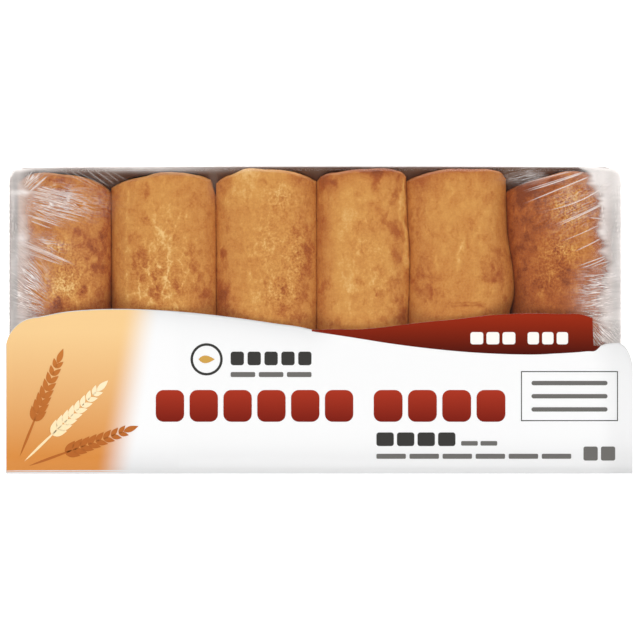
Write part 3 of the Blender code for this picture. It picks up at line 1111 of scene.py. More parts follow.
@dataclass(frozen=True)
class Fan:
    """A run of like creases between a first and a last one, each given by root and tip in plan."""

    count: int
    first: tuple[float, float, float, float]
    last: tuple[float, float, float, float]
    width: float = 0.42
    height: float = 0.25
    milk_and_glint: float = 0.9
    scatter: float = 1.0
    bow: float = 0.0

    def creases(self, random: np.random.Generator) -> list[Crease]:
        """The run's creases, evenly spread, with ends moved about by the scatter."""
        first, last = np.array(self.first), np.array(self.last)
        made = []
        for number in range(self.count):
            share = number / max(self.count - 1, 1)
            ends = first + (last - first) * share
            loose = self.scatter * random.uniform(-1.0, 1.0, 4) * (2.0, 0.35, 3.0, 0.7)
            ends = ends + loose
            width, height = self.width * random.uniform(0.75, 1.25), self.height * random.uniform(0.6, 1.3)
            milk_and_glint, bow = self.milk_and_glint * random.uniform(0.7, 1.15), self.bow + 0.3 * random.uniform(-1.0, 1.0)
            made.append(Crease((ends[0], ends[1]), (ends[2], ends[3]), width, height, milk_and_glint, bow))
        return made


@dataclass(frozen=True)
class MilkBand:
    """Gathered film along one end, from an inner border outwards."""

    end: End
    border: Line
    strength: float
    softness: float
    fray: float = 0.0

    def at(self, x: Array, y: Array) -> Array:
        """Milkiness at each place: smoothly up from the border, given as stops of y and x.

        Two noises drawn out along x fray the border into fingers of up to the fray's length.
        """
        place = np.stack([x, y, 0.0 * x], axis=-1)
        fingers = 0.45 * noise(place, (7.0, 1.1, 1.0), 31) + 0.75 * noise(place, (9.0, 4.3, 1.0), 32)
        inside = (x - through(self.border, y)) * self.end.value + self.fray * fingers
        return self.strength * ease(inside / self.softness + 0.5)


@dataclass(frozen=True)
class Gather:
    """A patch of film drawn into hair-fine folds that run away from a far point in plan."""

    focus: tuple[float, float]
    patch: Blotch

    def folds(self, flat: Array, offset: float) -> Array:
        """Across, along and strength of the folds at each place.

        Across is the angle about the far point, from the line to the patch's middle, times that
        line's length. Along is the distance from the far point, plus an offset. The strength is
        the patch's bell.
        """
        aim = np.array([self.patch.x, self.patch.y]) - self.focus
        run = flat[..., :2] - self.focus
        turned = np.arctan2(aim[0] * run[..., 1] - aim[1] * run[..., 0], run @ aim)
        along = np.linalg.norm(run, axis=-1) + offset
        return np.stack([turned * np.linalg.norm(aim), along, self.patch.at(flat)], axis=-1)


@dataclass
class WrappingFilm:
    """The film: taut over the rolls, drawn down the walls, gathered and milky at both ends."""

    finish: StretchFilm = StretchFilm()
    fans: tuple[Fan, ...] = ()
    bands: tuple[MilkBand, ...] = ()
    patches: tuple[Blotch, ...] = ()
    gathers: tuple[Gather, ...] = ()
    half_length: float = 135.0
    half_depth: float = 67.55
    middle: tuple[float, float] = (-1.8, 0.325)
    corner: float = 4.4
    taper: float = 0.009
    taper_run: float = 16.0
    rim: float = 23.2
    top: float = 35.55
    end_run: float = 22.0
    end_power: float = 1.8
    end_steps: int = 64
    far_run: float = 2.6
    far_power: float = 3.2
    far_steps: int = 34
    near_run: float = 12.0
    near_power: float = 2.4
    near_steps: int = 12
    label_line: float = -12.0
    folded_run: float = 31.0
    fine_step: float = 0.36
    row_step: float = 0.26
    wide_step: float = 2.6
    covered_step: float = 1.6
    trough_off: float = 1.7
    trough_depth: float = 0.45
    wave: float = 0.10
    rim_milk: float = 0.14
    under: float = 0.2
    seam_half: float = 95.0
    seed: int = 7

    def _slope(self, run: float, power: float, steps: int) -> tuple[Array, Array]:
        """Inset and height share from the rim to the flat top, evenly spaced along the film.

        A quarter superellipse: 1 minus the inset's share, and the height share, each raised to
        the power, add up to 1.
        """
        turn = np.linspace(0.0, 0.5 * np.pi, 2000)
        inset = run * (1.0 - np.cos(turn) ** (2.0 / power))
        height = np.sin(turn) ** (2.0 / power)
        lengths = np.hypot(np.diff(inset), np.diff(height) * (self.top - self.rim))
        done = np.concatenate([[0.0], np.cumsum(lengths)])
        wanted = np.linspace(0.0, done[-1], steps + 1)
        return np.interp(wanted, done, inset), np.interp(wanted, done, height)

    def _columns(self) -> tuple[Array, Array]:
        """x and height share of each column, close at the ends and wide in between."""
        inset, height = self._slope(self.end_run, self.end_power, self.end_steps)
        half, folded = self.half_length - self.end_run, self.folded_run
        stops = [(folded - half, self.fine_step), (half - folded, self.wide_step), (half, self.fine_step)]
        flat = spread(-half, stops)[1:-1]
        x = np.concatenate([-(self.half_length - inset), flat, (self.half_length - inset)[::-1]])
        return x, np.concatenate([height, np.ones(len(flat)), height[::-1]])

    def _rows(self) -> tuple[Array, Array]:
        """y and height share of each row, close where the film shows and wide under the label."""
        near_inset, near_height = self._slope(self.near_run, self.near_power, self.near_steps)
        far_inset, far_height = self._slope(self.far_run, self.far_power, self.far_steps)
        seen = (self.half_depth - self.far_run, self.row_step)
        flat = spread(-self.half_depth + self.near_run, [(self.label_line, self.covered_step), seen])
        y = np.concatenate([-(self.half_depth - near_inset), flat[1:-1], (self.half_depth - far_inset)[::-1]])
        return y, np.concatenate([near_height, np.ones(len(flat) - 2), far_height[::-1]])

    def _creases(self) -> list[Crease]:
        """All creases of all fans, from one seeded generator."""
        random = np.random.default_rng(self.seed)
        return [crease for fan in self.fans for crease in fan.creases(random)]

    def _folds(self, x: Array, y: Array) -> tuple[Array, Array]:
        """Relief and milkiness that the creases give each place. The milky line along a crease
        is partly painted highlight on its ridge.

        A crease is a narrow bell with a shallow trough on one side.
        """
        lift = np.zeros(x.shape)
        milk_and_glint = np.zeros(x.shape)
        for crease in self._creases():
            off, present = crease.across(x, y)
            bell = np.exp(-(off**2))
            trough = np.exp(-((off + self.trough_off) ** 2))
            lift += crease.height * present * (bell - self.trough_depth * trough)
            milk_and_glint = np.maximum(milk_and_glint, crease.milk_and_glint * present * np.exp(-((off / 0.8) ** 2)))
        return lift, milk_and_glint

    def _haze(self, x: Array, y: Array) -> Array:
        """Milkiness of the end bands and patches, drawn out in streaks; the far rim's two are painted sheen.
        """
        flat = np.stack([x, y, 0.0 * y], axis=-1)
        streaks = noise(flat, (6.0, 0.8, 1.0), self.seed + 3)
        wisps = noise(flat, (5.0, 5.0, 1.0), self.seed + 4)
        bands = np.max([band.at(x, y) for band in self.bands], axis=0)
        total = bands + sum((patch.at(flat) for patch in self.patches), np.zeros(y.shape))
        return np.clip(total * (1.0 + 0.07 * streaks + 0.10 * wisps), 0.0, 0.9)

    def _gathered(self, flat: Array) -> Array:
        """Across, along and strength of the hair-fine folds at each place.

        Each place takes the strongest gather's folds, less most of the next one's strength, so
        the folds fade out before another gather's begin.
        """
        fields = np.stack([gather.folds(flat, 60.0 * number) for number, gather in enumerate(self.gathers)])
        strengths = np.sort(fields[..., 2], axis=0)
        chosen = np.argmax(fields[..., 2], axis=0)
        folds = np.take_along_axis(fields, chosen[None, ..., None], axis=0)[0]
        folds[..., 2] = np.clip(strengths[-1] - 0.8 * strengths[-2], 0.0, 1.0)
        folds[..., 0] += 0.5 * noise(flat, (5.0, 5.0, 1.0), self.seed + 9)
        return folds

    def build(self) -> bpy.types.Object:
        """Make the film's piece: the top as a grid, the walls and the underside as rings below it."""
        x, share_x = self._columns()
        y, share_y = self._rows()
        grid_x, grid_y = np.meshgrid(x, y)
        inset = self.half_length - np.abs(grid_x)
        over = np.clip(np.abs(grid_y) - (self.half_depth - self.corner), 0.0, self.corner)
        cut = self.corner - np.sqrt(self.corner**2 - over**2)
        plan_x = grid_x - np.sign(grid_x) * cut * np.clip(1.0 - inset / 30.0, 0.0, 1.0) ** 1.5
        height = self.rim + (self.top - self.rim) * share_x[None] * share_y[:, None]
        plan_y = grid_y * (1.0 - self.taper * ease(1.0 - inset / self.taper_run)) + far_bow(grid_x, grid_y)
        base = np.stack([plan_x + self.middle[0], plan_y + self.middle[1], height], axis=-1)
        lift, milk_and_glint = self._folds(base[..., 0], base[..., 1])
        calm = ease(share_x)[None] * ease(share_y * 1.2)[:, None]
        wave = self.wave * noise(base, (16.0, 12.0, 50.0), 5) * calm
        points = base + grid_normals(base) * (lift * (0.3 + 0.7 * calm) + wave)[..., None]
        # The haze takes in the creases' milky lines, partly painted highlights.
        haze = np.maximum(self._haze(base[..., 0], base[..., 1]), milk_and_glint)
        haze = np.maximum(haze, self.rim_milk * ease((self.rim + 7.0 - height) / 7.0))
        fold = self._gathered(base * (1.0, 1.0, 0.0))
        skin = Skin()
        first = skin.add_grid(points, haze=haze, fold=fold)
        self._add_walls(skin, points, first)
        return skin.build("wrapping_film", self.finish.material(), Slot.FILM, replaces="film")

    def _add_walls(self, skin: Skin, top: Array, first: int) -> None:
        """Carry the top grid's border down the walls and under the tray to the seam line.

        Args:
            skin: where the top grid already is.
            top: the top grid's points.
            first: the number of its first point.
        """
        rows, columns = top.shape[:2]
        numbers = first + np.arange(rows * columns).reshape(rows, columns)
        loop = np.concatenate([numbers[0, :-1], numbers[:-1, -1], numbers[-1, :0:-1], numbers[:0:-1, 0]])
        flat = top.reshape(-1, 3)[loop - first]
        tangent = np.roll(flat, -1, axis=0) - np.roll(flat, 1, axis=0)
        outward = np.stack([tangent[:, 1], -tangent[:, 0]], axis=-1)
        outward /= np.maximum(np.linalg.norm(outward, axis=1, keepdims=True), 1e-9)
        heights = np.array([22.6, 21.6, 19.5, 17.0, 14.5, 12.0, 9.5, 7.0, 4.6, 2.6, 1.3, 0.6, self.under])
        insets = np.interp(heights, (self.under, 0.6, 2.6, 21.6, 23.2), (5.6, 4.7, 3.9, 0.0, 0.0))
        end_wall = np.abs(outward[:, 0]) ** 2
        rings, hazes, folds = [], [], []
        for height, inset in zip(heights, insets):
            below = np.full(len(loop), height - self.rim)
            pleat = noise(np.stack([flat[:, 1], below, 0 * below], axis=-1), (1.1, 14.0, 1.0), self.seed + 8)
            hang = 0.35 * end_wall * pleat * ease(-below / 3.0) * ease((height - self.under) / 4.0)
            plan = flat[:, :2] - outward * (inset - hang)[:, None]
            rings.append(np.column_stack([plan, np.full(len(loop), height)]))
            milky = self.rim_milk + end_wall * (0.40 + 0.14 * pleat) * (0.6 + 0.4 * ease(height / 20.0))
            hazes.append(np.clip(milky, 0.0, 0.85))
            folds.append(np.column_stack([0.45 * (flat[:, 0] + flat[:, 1]), below, 0.2 + 0.4 * end_wall]))
        bottom = rings[-1].copy()
        seam = bottom.copy()
        seam[:, 0] = np.clip(bottom[:, 0], -self.seam_half, self.seam_half)
        seam[:, 1] = self.middle[1]
        gathered = 0.12 + 0.35 * ease((np.abs(bottom[:, 0]) - self.seam_half) / 25.0)
        for share in (0.15, 0.4, 0.7, 1.0):
            ring = bottom + (seam - bottom) * share
            ring[:, 2] = self.under
            rings.append(ring)
            hazes.append(gathered)
            folds.append(np.column_stack([ring[:, 1], ring[:, 0], 0.8 * gathered]))
        walls = np.stack(rings)
        start = skin.add_points(walls, haze=np.stack(hazes), fold=np.stack(folds))
        ring_numbers = start + np.arange(walls.shape[0] * walls.shape[1]).reshape(walls.shape[:2])
        chain = np.concatenate([loop[None], ring_numbers])
        chain = np.concatenate([chain, chain[:, :1]], axis=1)
        high, low = chain[:-1], chain[1:]
        quads = np.stack([high[:, :-1], low[:, :-1], low[:, 1:], high[:, 1:]], axis=-1)
        skin.faces += quads.reshape(-1, 4).tolist()


@dataclass(frozen=True)
class CardShape:
    """The label card's outer face: its wave-shaped cut edge and its height over the pack."""

    half_length: float = 138.2
    fold_y: float = -67.5
    fold_depth: float = 9.0
    fold_drop: float = 6.0
    top: float = 36.35
    droop: float = 1.5
    droop_from: float = 118.0
    corner: tuple[float, float] = (14.2, 14.6)
    wave: Line = (
        (-124.0, 1.6), (-113.6, 3.7), (-100.0, 4.95), (-88.0, 5.2), (-73.0, 4.8), (-61.3, 4.0), (-50.7, 3.0),
        (-35.0, 1.1), (-19.0, -1.25), (-8.5, -2.7), (-3.4, -3.8), (6.0, -3.7), (16.0, -3.8), (25.2, -3.15),
        (38.7, -1.5), (50.0, -0.25), (62.0, 0.86), (70.0, 1.95), (81.3, 2.85), (92.0, 3.24), (105.0, 3.0),
        (117.0, 2.4), (120.4, 1.2),
    )
    notch: Line = (
        (120.8, -10.8), (124.1, -10.9), (126.2, -10.2), (128.5, -9.9), (131.3, -9.67),
    )
    ear: tuple[float, float] = (6.9, 12.9)

    def edge(self, x: Array) -> Array:
        """The cut edge's y at each x: corner arc, long wave, square tab end, notch, round ear.

        The corner and the ear are quarter ellipses, given by their width and depth.
        """
        (corner_x, corner_y), (ear_x, ear_y) = self.wave[0], self.notch[-1]
        arc = np.sqrt(np.clip(1.0 - ((x - corner_x) / self.corner[0]) ** 2, 0.0, 1.0))
        y = np.where(x < corner_x, corner_y - self.corner[1] * (1.0 - arc), through(self.wave, x))
        (tab_x, tab_y), (notch_x, notch_y) = self.wave[-1], self.notch[0]
        y = np.where(x > tab_x, tab_y + (notch_y - tab_y) * (x - tab_x) / (notch_x - tab_x), y)
        y = np.where(x >= notch_x, through(self.notch, x), y)
        arc = np.sqrt(np.clip(1.0 - ((x - ear_x) / self.ear[0]) ** 2, 0.0, 1.0))
        return np.where(x > ear_x, ear_y - self.ear[1] * (1.0 - arc), y)

    def height(self, x: Array, y: Array) -> Array:
        """The outer face's z in plan: flat, drooping at the ends and over the near fold."""
        droop = self.droop * ease((np.abs(x) - self.droop_from) / (self.half_length - self.droop_from))
        forward = np.clip((self.fold_y + self.fold_depth - y) / self.fold_depth, 0.0, 1.0)
        fold = self.fold_drop * (1.0 - np.sqrt(1.0 - forward**2))
        wave = 0.12 * np.sin(x / 31.0 + 0.8) * np.sin(y / 23.0)
        return self.top - droop - fold + wave

    def tint(self, x: Array, y: Array) -> Array:
        """How strong the painted shade is: along the wave's edge, at the drooping right end, over the near
        fold.
        """
        folding = (
            (-67.4, 0.65), (-66.8, 0.46), (-65.5, 0.31), (-63.0, 0.22), (-60.0, 0.145), (-57.0, 0.085),
            (-53.0, 0.03), (-47.0, 0.0),
        )
        below = np.clip(self.edge(x) - y, 0.0, None)
        along_wave = 0.28 * np.exp(-below / 4.5) * ease((12.0 - x) / 20.0)
        right_end = 0.10 * ease((x - 122.0) / 10.0) + 0.14 * ease((x - 118.0) / 8.0) * np.exp(-below / 6.0)
        return np.clip(through(folding, y) + along_wave + right_end, 0.0, 1.0)

    def lay(self, x: Array, y: Array, lift: float) -> Array:
        """Points in plan laid on the face, raised this far."""
        return np.stack([x, y, self.height(x, y) + lift], axis=-1)


@dataclass
class PrintLayer:
    """Flat shapes of one ink, laid on the card and gathered into one piece."""

    name: str
    ink: Ink
    card: CardShape
    lift: float = 0.06
    skin: Skin = field(default_factory=Skin)

    def _add(self, x: Array, y: Array) -> None:
        """Lay a grid of places in plan on the card, with the card's painted shade under them."""
        x = np.broadcast_to(x, y.shape)
        self.skin.add_grid(self.card.lay(x, y, self.lift), tint=self.card.tint(x, y))

    def strip(self, x: Array, low: Array, high: Array) -> None:
        """The field between two curves over x, in rows at most a millimetre apart."""
        share = np.linspace(0.0, 1.0, 2 + int(np.max(high - low)))[:, None]
        y = low[None] + (high - low)[None] * share
        self._add(x, y)

    def block(self, left: float, right: float, low: float, high: float, radius: float) -> None:
        """A rectangle whose corners are quarter circles."""
        held = min(radius, 0.5 * (right - left), 0.5 * (high - low))
        turn = np.linspace(0.0, 0.5 * np.pi, 7)
        near = left + held * (1.0 - np.cos(turn))
        far = right - held * (1.0 - np.cos(turn[::-1]))
        middle = np.linspace(near[-1], far[0], max(3, round((far[0] - near[-1]) / 4.0)))[1:-1]
        x = np.concatenate([near, middle, far])
        into_corner = np.clip(np.maximum(left + held - x, x - right + held), 0, None)
        inset = held - np.sqrt(np.clip(held**2 - into_corner**2, 0, None))
        self.strip(x, low + inset, high - inset)

    def blocks(
        self, left: float, right: float, low: float, high: float, count: int, gap: float, radius: float
    ) -> None:
        """A row of equal blocks between two x."""
        width = (right - left - gap * (count - 1)) / count
        for index in range(count):
            start = left + index * (width + gap)
            self.block(start, start + width, low, high, radius)

    def ring(self, x: float, y: float, inner: float, outer: float) -> None:
        """A ring about a point, between two radii."""
        angle = np.radians(np.linspace(0.0, 360.0, 49))[None]
        radius = np.array([[inner], [outer]])
        self._add((x + radius * np.cos(angle))[:, ::-1], (y + radius * np.sin(angle))[:, ::-1])

    def leaf(self, x: float, y: float, length: float, width: float, heading: float) -> None:
        """A pointed oval from its root: half width follows a sine of the share of the length."""
        share = np.linspace(0.0, 1.0, 9)
        half = 0.5 * width * np.sin(np.pi * share**0.8)
        across = np.array([[-1.0], [0.0], [1.0]]) * half[None]
        along = np.broadcast_to(length * share, across.shape)
        turn = math.radians(heading)
        plan_x = x + along * math.cos(turn) - across * math.sin(turn)
        plan_y = y + along * math.sin(turn) + across * math.cos(turn)
        self._add(plan_x, plan_y)

    def build(self) -> bpy.types.Object:
        """Make the layer's piece."""
        return self.skin.build(self.name, self.ink.material(), Slot.CARD)


@dataclass
class Label:
    """The printed card: a folded white sheet, a dark red band and plain shapes for its print."""

    finish: CoatedCard = CoatedCard()
    card: CardShape = CardShape()
    thickness: float = 0.35
    wall_top: float = 29.0
    lean_from: float = 20.8
    lean: float = 3.2
    lower_edge: float = 4.0
    wall_shade: float = 0.42
    over_ink: float = 0.11

    def build(self) -> list[bpy.types.Object]:
        """Make the card and its print."""
        return [self._card(), *(layer.build() for layer in self._layers())]

    def _card(self) -> bpy.types.Object:
        """The card: columns over x, rows from the cut edge over the fold and down the near wall."""
        card = self.card
        bend = np.sin(np.linspace(0.0, 0.5 * np.pi, 22))
        x = np.concatenate([
            -card.half_length + card.corner[0] * (1.0 - bend[::-1]),
            spread(-124.0, [(120.4, 0.9), (120.8, 0.2), (124.1, 0.5), (131.3, 0.5)])[1:-1],
            card.half_length - card.ear[0] * (1.0 - bend),
        ])
        flat_end = card.fold_y + card.fold_depth
        share = np.linspace(0.0, 1.0, 36)[:, None]
        edge = card.edge(x)[None]
        flat_y = edge + (flat_end - edge) * share
        turn = np.linspace(0.0, 0.5 * np.pi, 15)[1:, None]
        fold_y = flat_end - card.fold_depth * np.sin(turn) + 0.0 * edge
        plan_y = np.concatenate([flat_y, fold_y])
        upper = card.lay(np.broadcast_to(x, plan_y.shape), plan_y, 0.0)
        wall = self._wall(x, upper[-1:, :, 2], 0.0)
        skin = Skin()
        # The near wall takes an even painted shade.
        tint = np.concatenate([card.tint(x[None], plan_y), np.full(wall.shape[:2], self.wall_shade)])
        skin.add_grid(np.concatenate([upper, wall])[::-1], tint=tint[::-1])
        piece = skin.build("label_card", self.finish.material(), Slot.CARD, replaces="label")
        solid = piece.modifiers.new("card", "SOLIDIFY")
        solid.thickness = self.thickness * MM
        solid.offset = -1.0
        return piece

    def _wall(self, x: Array, fold_z: Array, proud: float) -> Array:
        """The card's near wall under its fold, straight down and then leaning back.

        Args:
            x: the columns.
            fold_z: where the fold ends on each column.
            proud: how far the points stand off the card.

        Returns:
            Points from the fold down to the lower edge.
        """
        height = spread(self.wall_top, [(self.lean_from, 1.6), (self.lower_edge, 1.6)])
        upper = self.lean_from + 2.0
        back = self.lean * ease((upper - height) / (upper - self.lower_edge) * 0.5) * 2.0
        y = self.card.fold_y - proud + np.minimum(back, self.lean)
        z = np.minimum(height[:, None], fold_z - 0.4)
        return np.stack(np.broadcast_arrays(x, y[:, None], z), axis=-1)

    def _layers(self) -> list[PrintLayer]:
        """The print, one layer for each ink, in plan positions measured on the card."""
        card = self.card
        band = PrintLayer("print_red_band", Ink("ink_dark_red", "#430D04", "#96290F", -15.0, 2.0), card)
        x = spread(-3.3, [(120.4, 1.2), (120.8, 0.2), (124.1, 0.5)])
        lower_edge = (
            (-3.2, -4.65), (14.0, -7.25), (32.0, -10.1), (50.0, -12.36), (70.0, -14.1), (87.0, -14.8),
            (95.4, -14.87), (104.0, -14.45), (118.0, -13.45), (122.1, -12.93), (124.1, -10.95),
        )
        lower = through(lower_edge, x)
        band.strip(x, lower, np.maximum(card.edge(x) - 0.02, lower))

        brick = Ink("ink_brick_red", "#7A1C10", "#A93420", -44.0, -30.0)
        title = PrintLayer("print_title_blocks", brick, card)
        title.blocks(-72.0, 15.0, -44.5, -30.5, 6, 2.4, 3.4)
        title.blocks(24.0, 82.0, -44.5, -30.5, 4, 2.4, 3.4)

        dark = PrintLayer("print_dark_blocks", Ink("ink_warm_black", "#3B3A38", "#3B3A38"), card)
        dark.ring(-49.6, -17.0, 6.0, 7.1)
        dark.blocks(-39.0, -3.4, -19.6, -13.6, 5, 1.6, 1.2)
        dark.blocks(25.2, 60.0, -55.2, -49.2, 4, 1.4, 1.2)
        for low in (-44.2, -22.6):
            dark.block(88.9, 131.6, low, low + 0.4, 0.1)
        for left in (88.9, 131.2):
            dark.block(left, left + 0.4, -44.2, -22.2, 0.1)

        grey = PrintLayer("print_grey_lines", Ink("ink_mid_grey", "#6D6B68", "#6D6B68"), card)
        grey.blocks(-39.0, -3.4, -24.8, -22.6, 3, 1.6, 0.6)
        grey.blocks(62.5, 78.4, -55.0, -53.0, 2, 1.2, 0.5)
        grey.blocks(25.2, 111.0, -60.8, -58.6, 6, 1.6, 0.5)
        grey.blocks(116.4, 130.4, -61.6, -55.4, 2, 1.4, 0.9)
        for low in (-28.4, -34.2, -40.0):
            grey.block(93.5, 127.0, low, low + 1.9, 0.9)

        reversed_white = Ink("ink_reversed_white", "#F7F4EE", "#F7F4EE")
        white = PrintLayer("print_white_blocks", reversed_white, card, self.over_ink)
        white.blocks(66.6, 86.4, -10.4, -5.0, 3, 1.4, 1.1)
        white.blocks(91.8, 109.6, -10.4, -5.0, 3, 1.4, 1.1)
        return [band, title, dark, grey, white, *self._ornament()]

    def _ornament(self) -> list[PrintLayer]:
        """A generic ornament at the label's left end: a golden field with three ears of grain."""
        card = self.card
        golden = Ink("ink_golden", "#D6893F", "#F3CB90", -60.0, -4.0, faded_from=-87.0, fade_run=17.0)
        ground = PrintLayer("print_golden_field", golden, card, lift=0.03)
        turn = np.linspace(0.0, 0.5 * np.pi, 24)
        x = np.concatenate([-123.7 - 14.1 * np.cos(turn), spread(-123.7, [(-62.0, 1.2)])[1:]])
        ground.strip(x, np.full(len(x), card.fold_y), card.edge(x) - 0.35)
        fold_z = card.height(x[None], np.full((1, len(x)), card.fold_y))
        wall = self._wall(x, fold_z, ground.lift)
        # The field's part on the near wall takes the same even painted shade.
        ground.skin.add_grid(wall[::-1], tint=np.full(wall.shape[:2], self.wall_shade))

        pale, crust = Ink("ink_cream", "#FBE2B0", "#FDEFCF"), Ink("ink_crust_brown", "#B4642B", "#C97B3A")
        cream = PrintLayer("print_cream_grain", pale, card, self.over_ink)
        brown = PrintLayer("print_brown_grain", crust, card, self.over_ink)
        self._ear(brown, (-132.0, -60.0), 68.0)
        self._ear(cream, (-130.0, -62.0), 44.0)
        self._ear(brown, (-128.0, -64.0), 20.0)
        gold = PrintLayer("print_gold_seed", Ink("ink_gold", "#C4943F", "#D2A555"), card)
        gold.leaf(-53.2, -17.0, 7.2, 3.4, 0.0)
        return [ground, cream, brown, gold]

    def _ear(self, layer: PrintLayer, root: tuple[float, float], heading: float) -> None:
        """An ear of grain: a stalk, eight pairs of seeds that shrink towards the tip, and a last one."""
        turn = math.radians(heading)

        def seed(run: float, length: float, width: float, lean: float) -> None:
            """One seed this far along the ear, leaning away from it."""
            x, y = root[0] + run * math.cos(turn), root[1] + run * math.sin(turn)
            layer.leaf(x, y, length, width, heading + lean)

        seed(0.0, 24.0, 1.1, 0.0)
        for step in range(8):
            for lean in (-30.0, 30.0):
                seed(17.0 + 3.6 * step, 7.0 - 0.35 * step, 2.9 - 0.12 * step, lean)
        seed(44.5, 7.0, 2.6, 0.0)


@dataclass
class Studio:
    """White sweep, two soft boxes across the rolls, a weak fill, and a camera straight above."""

    view_width: float = 281.92
    view_middle: tuple[float, float] = (0.35, 0.33)
    top_plane: float = 36.0
    lens: float = 800.0
    sensor: float = 36.0
    clip_end: float = 20.0
    floor_half: float = 3.0
    floor_gap: float = 0.0004
    floor_glow: float = 0.6
    surround: float = 0.30

    def build(self) -> None:
        """Make the floor, the lights, the world and the camera."""
        scene = bpy.context.scene
        scene.view_settings.view_transform = "Standard"
        self._floor()
        self._lights()
        self._world(scene)
        self._camera(scene)

    def _floor(self) -> None:
        """A wide white sweep that gives a little light of its own, as a lit table does."""
        graph = Graph("lit_white_sweep")
        lit = {"Emission Color": linear("#FFFFFF"), "Emission Strength": self.floor_glow}
        shader = graph.principled({"Base Color": linear("#FAFAFA"), "Roughness": 0.9, **lit})
        mesh = bpy.data.meshes.new("sweep")
        corners = [(-1, -1), (1, -1), (1, 1), (-1, 1)]
        places = [(self.floor_half * x, self.floor_half * y, -self.floor_gap) for x, y in corners]
        mesh.from_pydata(places, [], [(0, 1, 2, 3)])
        mesh.materials.append(graph.end(shader))
        floor = bpy.data.objects.new("sweep", mesh)
        bpy.context.scene.collection.objects.link(floor)
        floor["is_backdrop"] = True

    def _lights(self) -> None:
        """Two tall soft boxes beyond the rolls' ends and two dim ones beyond the pack's ends."""
        boxes = (
            ("far_box", (0.0, 1.1, 1.15), (1.8, 0.9), 13.0),
            ("near_box", (0.0, -1.1, 1.15), (1.8, 0.9), 13.0),
            ("left_box", (-1.4, 0.0, 1.0), (0.9, 0.9), 5.0),
            ("right_box", (1.4, 0.0, 1.0), (0.9, 0.9), 5.0),
        )
        for name, (x, y, z), size, power in boxes:
            light = bpy.data.lights.new(name, "AREA")
            light.shape = "RECTANGLE"
            light.size, light.size_y = size
            light.energy = power
            lamp = bpy.data.objects.new(name, light)
            lamp.location = (x, y, z)
            lamp.rotation_euler = (math.atan2(math.hypot(x, y), z), 0.0, math.atan2(x, -y))
            bpy.context.scene.collection.objects.link(lamp)

    def _world(self, scene: bpy.types.Scene) -> None:
        """An even pale surround."""
        world = bpy.data.worlds.new("pale_studio")
        world.use_nodes = True
        background = world.node_tree.nodes["Background"]
        background.inputs["Color"].default_value = linear("#FFFFFF")
        background.inputs["Strength"].default_value = self.surround
        scene.world = world

    def _camera(self, scene: bpy.types.Scene) -> None:
        """A long lens straight above, so that the label's plane fills the frame as measured."""
        lens = bpy.data.cameras.new("overhead")
        lens.lens = self.lens
        lens.sensor_width = self.sensor
        lens.clip_end = self.clip_end
        camera = bpy.data.objects.new("overhead", lens)
        distance = self.view_width * self.lens / self.sensor
        camera.location = (
            self.view_middle[0] * MM, self.view_middle[1] * MM, (distance + self.top_plane) * MM
        )
        scene.collection.objects.link(camera)
        scene.camera = camera


def patches(*rows: tuple[float, ...]) -> tuple[Blotch, ...]:
    """Blotches from rows of x, y, half sizes and strength."""
    return tuple(Blotch(*row) for row in rows)


def splits(strength: float, half_width: float, branches: int, *lines: Line) -> tuple[Vein, ...]:
    """Splits along several lines, all of one kind."""
    return tuple(Vein(line, strength, half_width, branches) for line in lines)


def lone(line: tuple[float, float, float, float], width: float, milk_and_glint: float, bow: float = 0.0) -> Fan:
    """A single crease that keeps its place, given by root and tip in plan."""
    return Fan(1, line, line, width=width, milk_and_glint=milk_and_glint, scatter=0.0, bow=bow)


# The lines that neighbouring rolls press on, as stops of y and x.
SEAM_1_2 = ((-60.0, -91.4), (60.0, -91.8))
SEAM_2_3 = ((-60.0, -45.2), (60.0, -45.6))
SEAM_3_4 = ((-60.0, -0.8), (60.0, -1.2))
SEAM_4_5 = ((-60.0, 39.6), (0.0, 39.2), (20.0, 39.8), (32.0, 39.9), (45.0, 38.9), (60.0, 38.4))
SEAM_5_6 = (
    (-60.0, 84.0), (0.0, 83.4), (5.0, 84.4), (10.0, 85.8), (20.0, 85.8), (31.0, 84.2), (38.0, 83.2),
    (50.0, 82.6), (60.0, 82.4),
)

